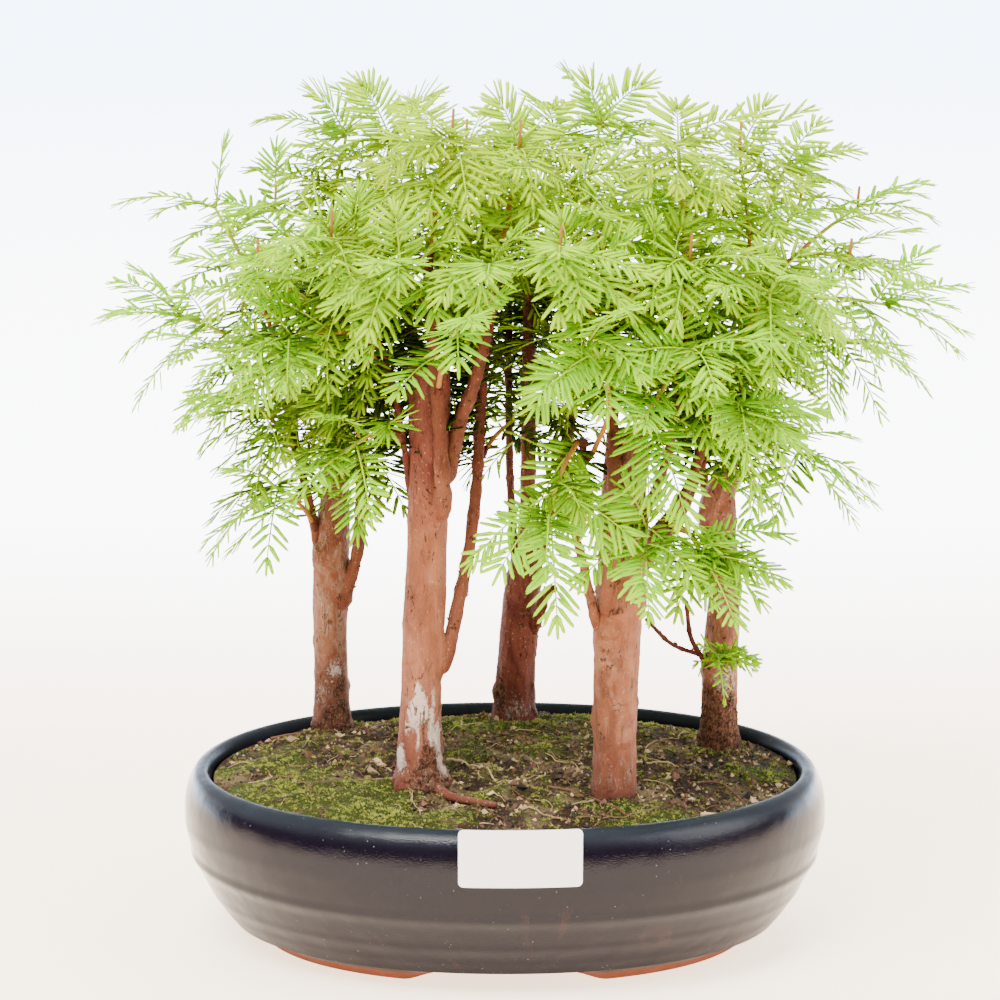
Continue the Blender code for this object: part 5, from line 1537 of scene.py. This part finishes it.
def whorl_frond(rng, root, turn, length, leaf):
    """A frond at a shoot's end that leans out level, turned by some degrees from straight outwards."""
    out = from_middle(root)
    angle = np.radians(turn) + rng.normal(0, 0.2)
    level = np.array([out[0] * np.cos(angle) - out[1] * np.sin(angle),
                      out[0] * np.sin(angle) + out[1] * np.cos(angle), rng.uniform(-0.12, 0.25)])
    heading = unit(level)
    droop = rng.uniform(*FINE_DROOP) + FRONT_DROOP * max(0.0, -heading[1])
    if not clear_line(root, heading, length, droop)[1]:
        return None
    return root, heading, length, out, leaf, droop


def add_tuft(leaves, stems, root):
    """The tuft at the end of the lowest shoot: short fronds that fan out by the golden angle."""
    rng = np.random.default_rng(SEED + 1)
    for k in range(TUFT_FRONDS):
        turn = GOLDEN * k
        heading = unit(np.array([np.cos(turn) + 0.35, np.sin(turn) - 0.35, rng.uniform(-0.35, 0.6)]))
        out = np.array([0.0, -1.0, 0.0])
        add_frond(leaves, stems, rng, root, heading, rng.uniform(*TUFT_LENGTH), out, TUFT_NEEDLE, 0.62,
                  0.1, 0.7)


def add_node_fronds(leaves, stems, rng, shoot, length, size, crowd):
    """Opposite pairs of fronds at a shoot's nodes, each pair a quarter turn on, where there is room."""
    path = shoot["path"]
    taken = [frond["share"] for frond in shoot["fronds"]]
    nodes = max(2, int(length / (NODE_PITCH if path[-1, 2] < HIGH_SHOOT else HIGH_PITCH)))
    turn = rng.uniform(0, 2 * np.pi)
    for k, share in enumerate(np.linspace(0.06, 0.97, nodes)):
        root, way = along(path, share)
        young = 0.70 + 0.30 * np.sin(np.pi * (0.15 + 0.75 * share))
        for opposite in (0.0, np.pi):
            if min(abs(share - other) for other in taken + [9.0]) * length < NODE_CLEAR and opposite == 0.0:
                continue
            reach = rng.uniform(*NODE_FROND) * size * young
            grown = try_frond(rng, root, way, turn + k * np.pi / 2 + opposite, reach,
                              LEAFLET_LENGTH * size * rng.uniform(0.9, 1.1), crowd[-1])
            if grown is not None:
                grow_frond(leaves, stems, rng, grown, crowd)


def add_bare_tip(stems, rng, end):
    """A bare young tip that stands up from a high shoot's end."""
    top = end + np.array([[0, 0, -0.5], [0.2, 0, 5.0], [0.6, 0, rng.uniform(9, 15)]])
    top[:, 2] = np.minimum(top[:, 2], ROOM_HIGH[2] + np.array([-9, -5, 0]))
    points, quads, ends, _ = rod(top, np.array([0.8, 0.75, 0.7]), 6)
    stems.add(points, quads, ends, green=0.0)


def make_shoot(index, shoot, leaders, rng, crowd):
    """One fine leafy shoot: its stem, the fronds of the solid shoot, opposite pairs of fronds at the nodes
    between them, a whorl at its end, and the leaders that grow from it."""
    leaves, stems = Pile(), Pile()
    path = shoot["path"]
    length = steps(path).sum()
    size = np.clip(length / FULL_SIZE_SHOOT, 0.5, 1.0)
    line, wide = smooth_path(path, np.linspace(*SHOOT_R, len(path)), 20)
    points, quads, ends, share = rod(line, wide, 8)
    stems.add(points, quads, ends, green=np.clip(share * 0.9 - 0.15, 0, 1))
    for frond in shoot["fronds"]:
        add_frond(leaves, stems, rng, *frond["grown"], painted_crown_light(frond["end"]) + rng.normal(0, 0.13))
    for grown in leaders:
        tilts = TOP_TILT if path[-1, 2] > TOP_Z else LEADER_TILT
        tilts = SIDE_TILT if grown[4] == SIDE_NEEDLE else tilts
        grow_frond(leaves, stems, rng, grown, crowd, LEADER_FRESH, tilts)
    for turn in WHORL if abs(path[-1, 0]) < SIDE_X else (0.0,):
        grown = whorl_frond(rng, path[-1], turn, rng.uniform(*WHORL_FROND) * size, LEAFLET_LENGTH * size)
        if grown is not None:
            grow_frond(leaves, stems, rng, grown, crowd)
    if path[-1, 2] < TUFT_Z:
        add_tuft(leaves, stems, path[-1])
    add_node_fronds(leaves, stems, rng, shoot, length, size, crowd)
    if path[-1, 2] > HIGH_SHOOT and rng.uniform() < 0.5:
        add_bare_tip(stems, rng, path[-1])
    node = f"{shoot['tree']}_shoot_{index:02d}"
    leaves.piece(f"{node}_needles", LEAF_FINISH, "leaf", (node,))
    stems.piece(f"{node}_stem", STEM_FINISH, "leaf", (node,))


def leader_frond(tip, root):
    """The frond from a root to a tip, as the heading, length and droop that end there."""
    span = np.array(tip, float) - root
    reach = np.linalg.norm(span) / 1.02
    droop = RIB_DROOP + FRONT_DROOP * max(0.0, -span[1] / reach)
    heading = unit(span / reach + UP * (droop - RIB_RISE))
    out = from_middle(root)
    if abs(tip[0]) > SIDE_X:
        return root, heading, reach, out, SIDE_NEEDLE, droop
    return root, heading, reach, unit(0.4 * out - np.array([0.0, 1.0, 0.0])), LEADER_NEEDLE, droop


def share_leaders(shoots):
    """Gives each leader to the shoot that passes nearest its rough root."""
    lines = [smooth_path(shoot["path"], np.zeros(len(shoot["path"])), 30)[0] for shoot in shoots]
    given = [[] for _ in shoots]
    for tip, rough in LEADERS:
        far = [np.linalg.norm(line - np.array(rough, float), axis=1) for line in lines]
        owner = int(np.argmin([f.min() for f in far]))
        root = lines[owner][int(np.argmin(far[owner]))]
        given[owner].append(leader_frond(tip, root))
    return given


def make_inner_sprays(name, wood, rng, crowd):
    """Short sprays straight from a tree's limbs, which fill the inside of the crown."""
    leaves, stems = Pile(), Pile()
    limbs = [path for path, _ in wood if len(path) != TWIG_POINTS]
    for path in limbs:
        length = steps(path).sum()
        for share in np.arange(0.15, 0.99, INNER_PITCH / length):
            root, way = along(path, share)
            if root[2] < INNER_LOW:
                continue
            for opposite in (0.0, np.pi):
                turn = rng.uniform(0, 2 * np.pi) + opposite
                grown = try_frond(rng, root, way, turn, rng.uniform(*NODE_FROND), LEAFLET_LENGTH, crowd[-1],
                                  INNER_APART)
                if grown is not None:
                    grow_frond(leaves, stems, rng, grown, crowd, INNER_SHADE)
    leaves.piece(f"{name}_inner_needles", LEAF_FINISH, "leaf")
    stems.piece(f"{name}_inner_stems", STEM_FINISH, "leaf")


def make_floor():
    """A pale floor and a backdrop that curves up behind it. Both glow: warm near by, white farther back,
    blue on the low part of the backdrop and hardly at all above."""
    wide = 6000.0
    profile = [(-3500.0, 0.0), (1500.0, 0.0)]
    bend = np.linspace(0, np.pi / 2, 16)[1:]
    profile += [(1500 + 900 * np.sin(t), 900 - 900 * np.cos(t)) for t in bend] + [(2400.0, 5200.0)]
    rows = np.array(profile)
    x = np.array([-wide, wide])
    points = np.stack([np.broadcast_to(x, (len(rows), 2)), np.broadcast_to(rows[:, :1], (len(rows), 2)),
                       np.broadcast_to(rows[:, 1:], (len(rows), 2)) - 0.05], axis=-1).reshape(-1, 3)
    i = np.arange(len(rows) - 1) * 2
    quads = np.stack([i, i + 1, i + 3, i + 2], axis=-1)
    mesh = bpy.data.meshes.new("pale_floor")
    mesh.from_pydata((points * MM).tolist(), [], quads.tolist())
    paint = Paint("pale_card")
    height = paint.node("ShaderNodeSeparateXYZ", {}, paint.place)["Z"]
    far = paint.node("ShaderNodeSeparateXYZ", {}, paint.place)["Y"].step(0.25, 1.0)
    colour = paint.mix(far, rgb(250, 234, 216), rgb(240, 242, 248))
    glow = paint.mix(far, (0.36, 0.28, 0.20), (0.86, 0.86, 0.86))
    glow = paint.mix(height.step(0.01, 0.28), glow, (0.42, 0.60, 0.86))
    glow = paint.mix(height.step(0.36, 0.7), glow, (0.02, 0.02, 0.02))
    mesh.materials.append(paint.set(Base_Color=colour, Roughness=0.6, Specular_IOR_Level=0.2,
                                    Emission_Color=glow, Emission_Strength=8.0))
    mesh.shade_smooth()
    show("pale_floor", mesh)


def add_light(name, place, target, size, power, colour=(1.0, 1.0, 1.0)):
    """A soft square light that faces a point."""
    lamp = bpy.data.lights.new(name, "AREA")
    lamp.size, lamp.energy, lamp.color = size, power, colour
    made = show(name, lamp)
    made.location = place
    toward = unit(np.array(target, float) - np.array(place, float))
    made.rotation_euler = (np.arccos(-toward[2]), 0.0, np.arctan2(toward[1], toward[0]) - np.pi / 2)


def make_studio():
    """Soft daylight from all round, three broad lights in front, at the side and above, and the camera."""
    paint = Paint("soft_daylight", bpy.data.worlds, "Background", "Generated")
    height = paint.node("ShaderNodeSeparateXYZ", {}, paint.place)["Z"]
    sky = paint.mix(height.step(0.12, 0.5), rgb(116, 118, 122), rgb(232, 238, 246))
    bpy.context.scene.world = paint.set(Color=sky, Strength=1.0)
    add_light("front_key", (-0.7, -1.25, 2.25), (0, 0, 0.2), 1.1, 132.0, (1.0, 0.98, 0.94))
    add_light("side_fill", (1.7, -0.7, 1.2), (0, 0, 0.2), 1.4, 33.0, (0.95, 0.97, 1.0))
    add_light("top_light", (0.1, 0.3, 2.1), (0, 0, 0.2), 1.5, 66.0)
    camera = bpy.data.cameras.new("camera")
    camera.sensor_width, camera.lens = 36.0, CAMERA_LENS
    made = show("camera", camera)
    made.location = (np.array(CAMERA_PLACE) + MIDDLE) * MM
    made.rotation_euler = (np.radians(90.0 - CAMERA_DOWN), 0.0, 0.0)
    bpy.context.scene.camera = made


BARK_FINISH, LEAF_FINISH, STEM_FINISH = bark_finish(), leaf_finish(), stem_finish()


def main():
    """Grows the forest and makes every piece, the stage and the camera."""
    wood, shoots = grow()
    rng = np.random.default_rng(SEED + 1)
    make_tray()
    make_label()
    make_soil()
    make_moss(rng)
    make_litter(rng)
    for node in ("drain_screen_left", "drain_screen_right"):
        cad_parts[node].data.materials.clear()
        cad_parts[node].data.materials.append(screen_finish())
    for name in TREES:
        make_tree(name, wood[name], rng)
    stations = [frond["rib"] for shoot in shoots for frond in shoot["fronds"]]
    given = share_leaders(shoots)
    for root, heading, reach, *_ in (leader for leaders in given for leader in leaders):
        stations.append(root + reach * heading * np.linspace(0.1, 1.0, 5)[:, None])
    # Where fronds stand already, in a list so that each new frond can add its own places
    crowd = [np.concatenate(stations)]
    for index, (shoot, leaders) in enumerate(zip(shoots, given)):
        make_shoot(index + 1, shoot, leaders, rng, crowd)
    for name in TREES:
        make_inner_sprays(name, wood[name], rng, crowd)
    make_floor()
    make_studio()


main()
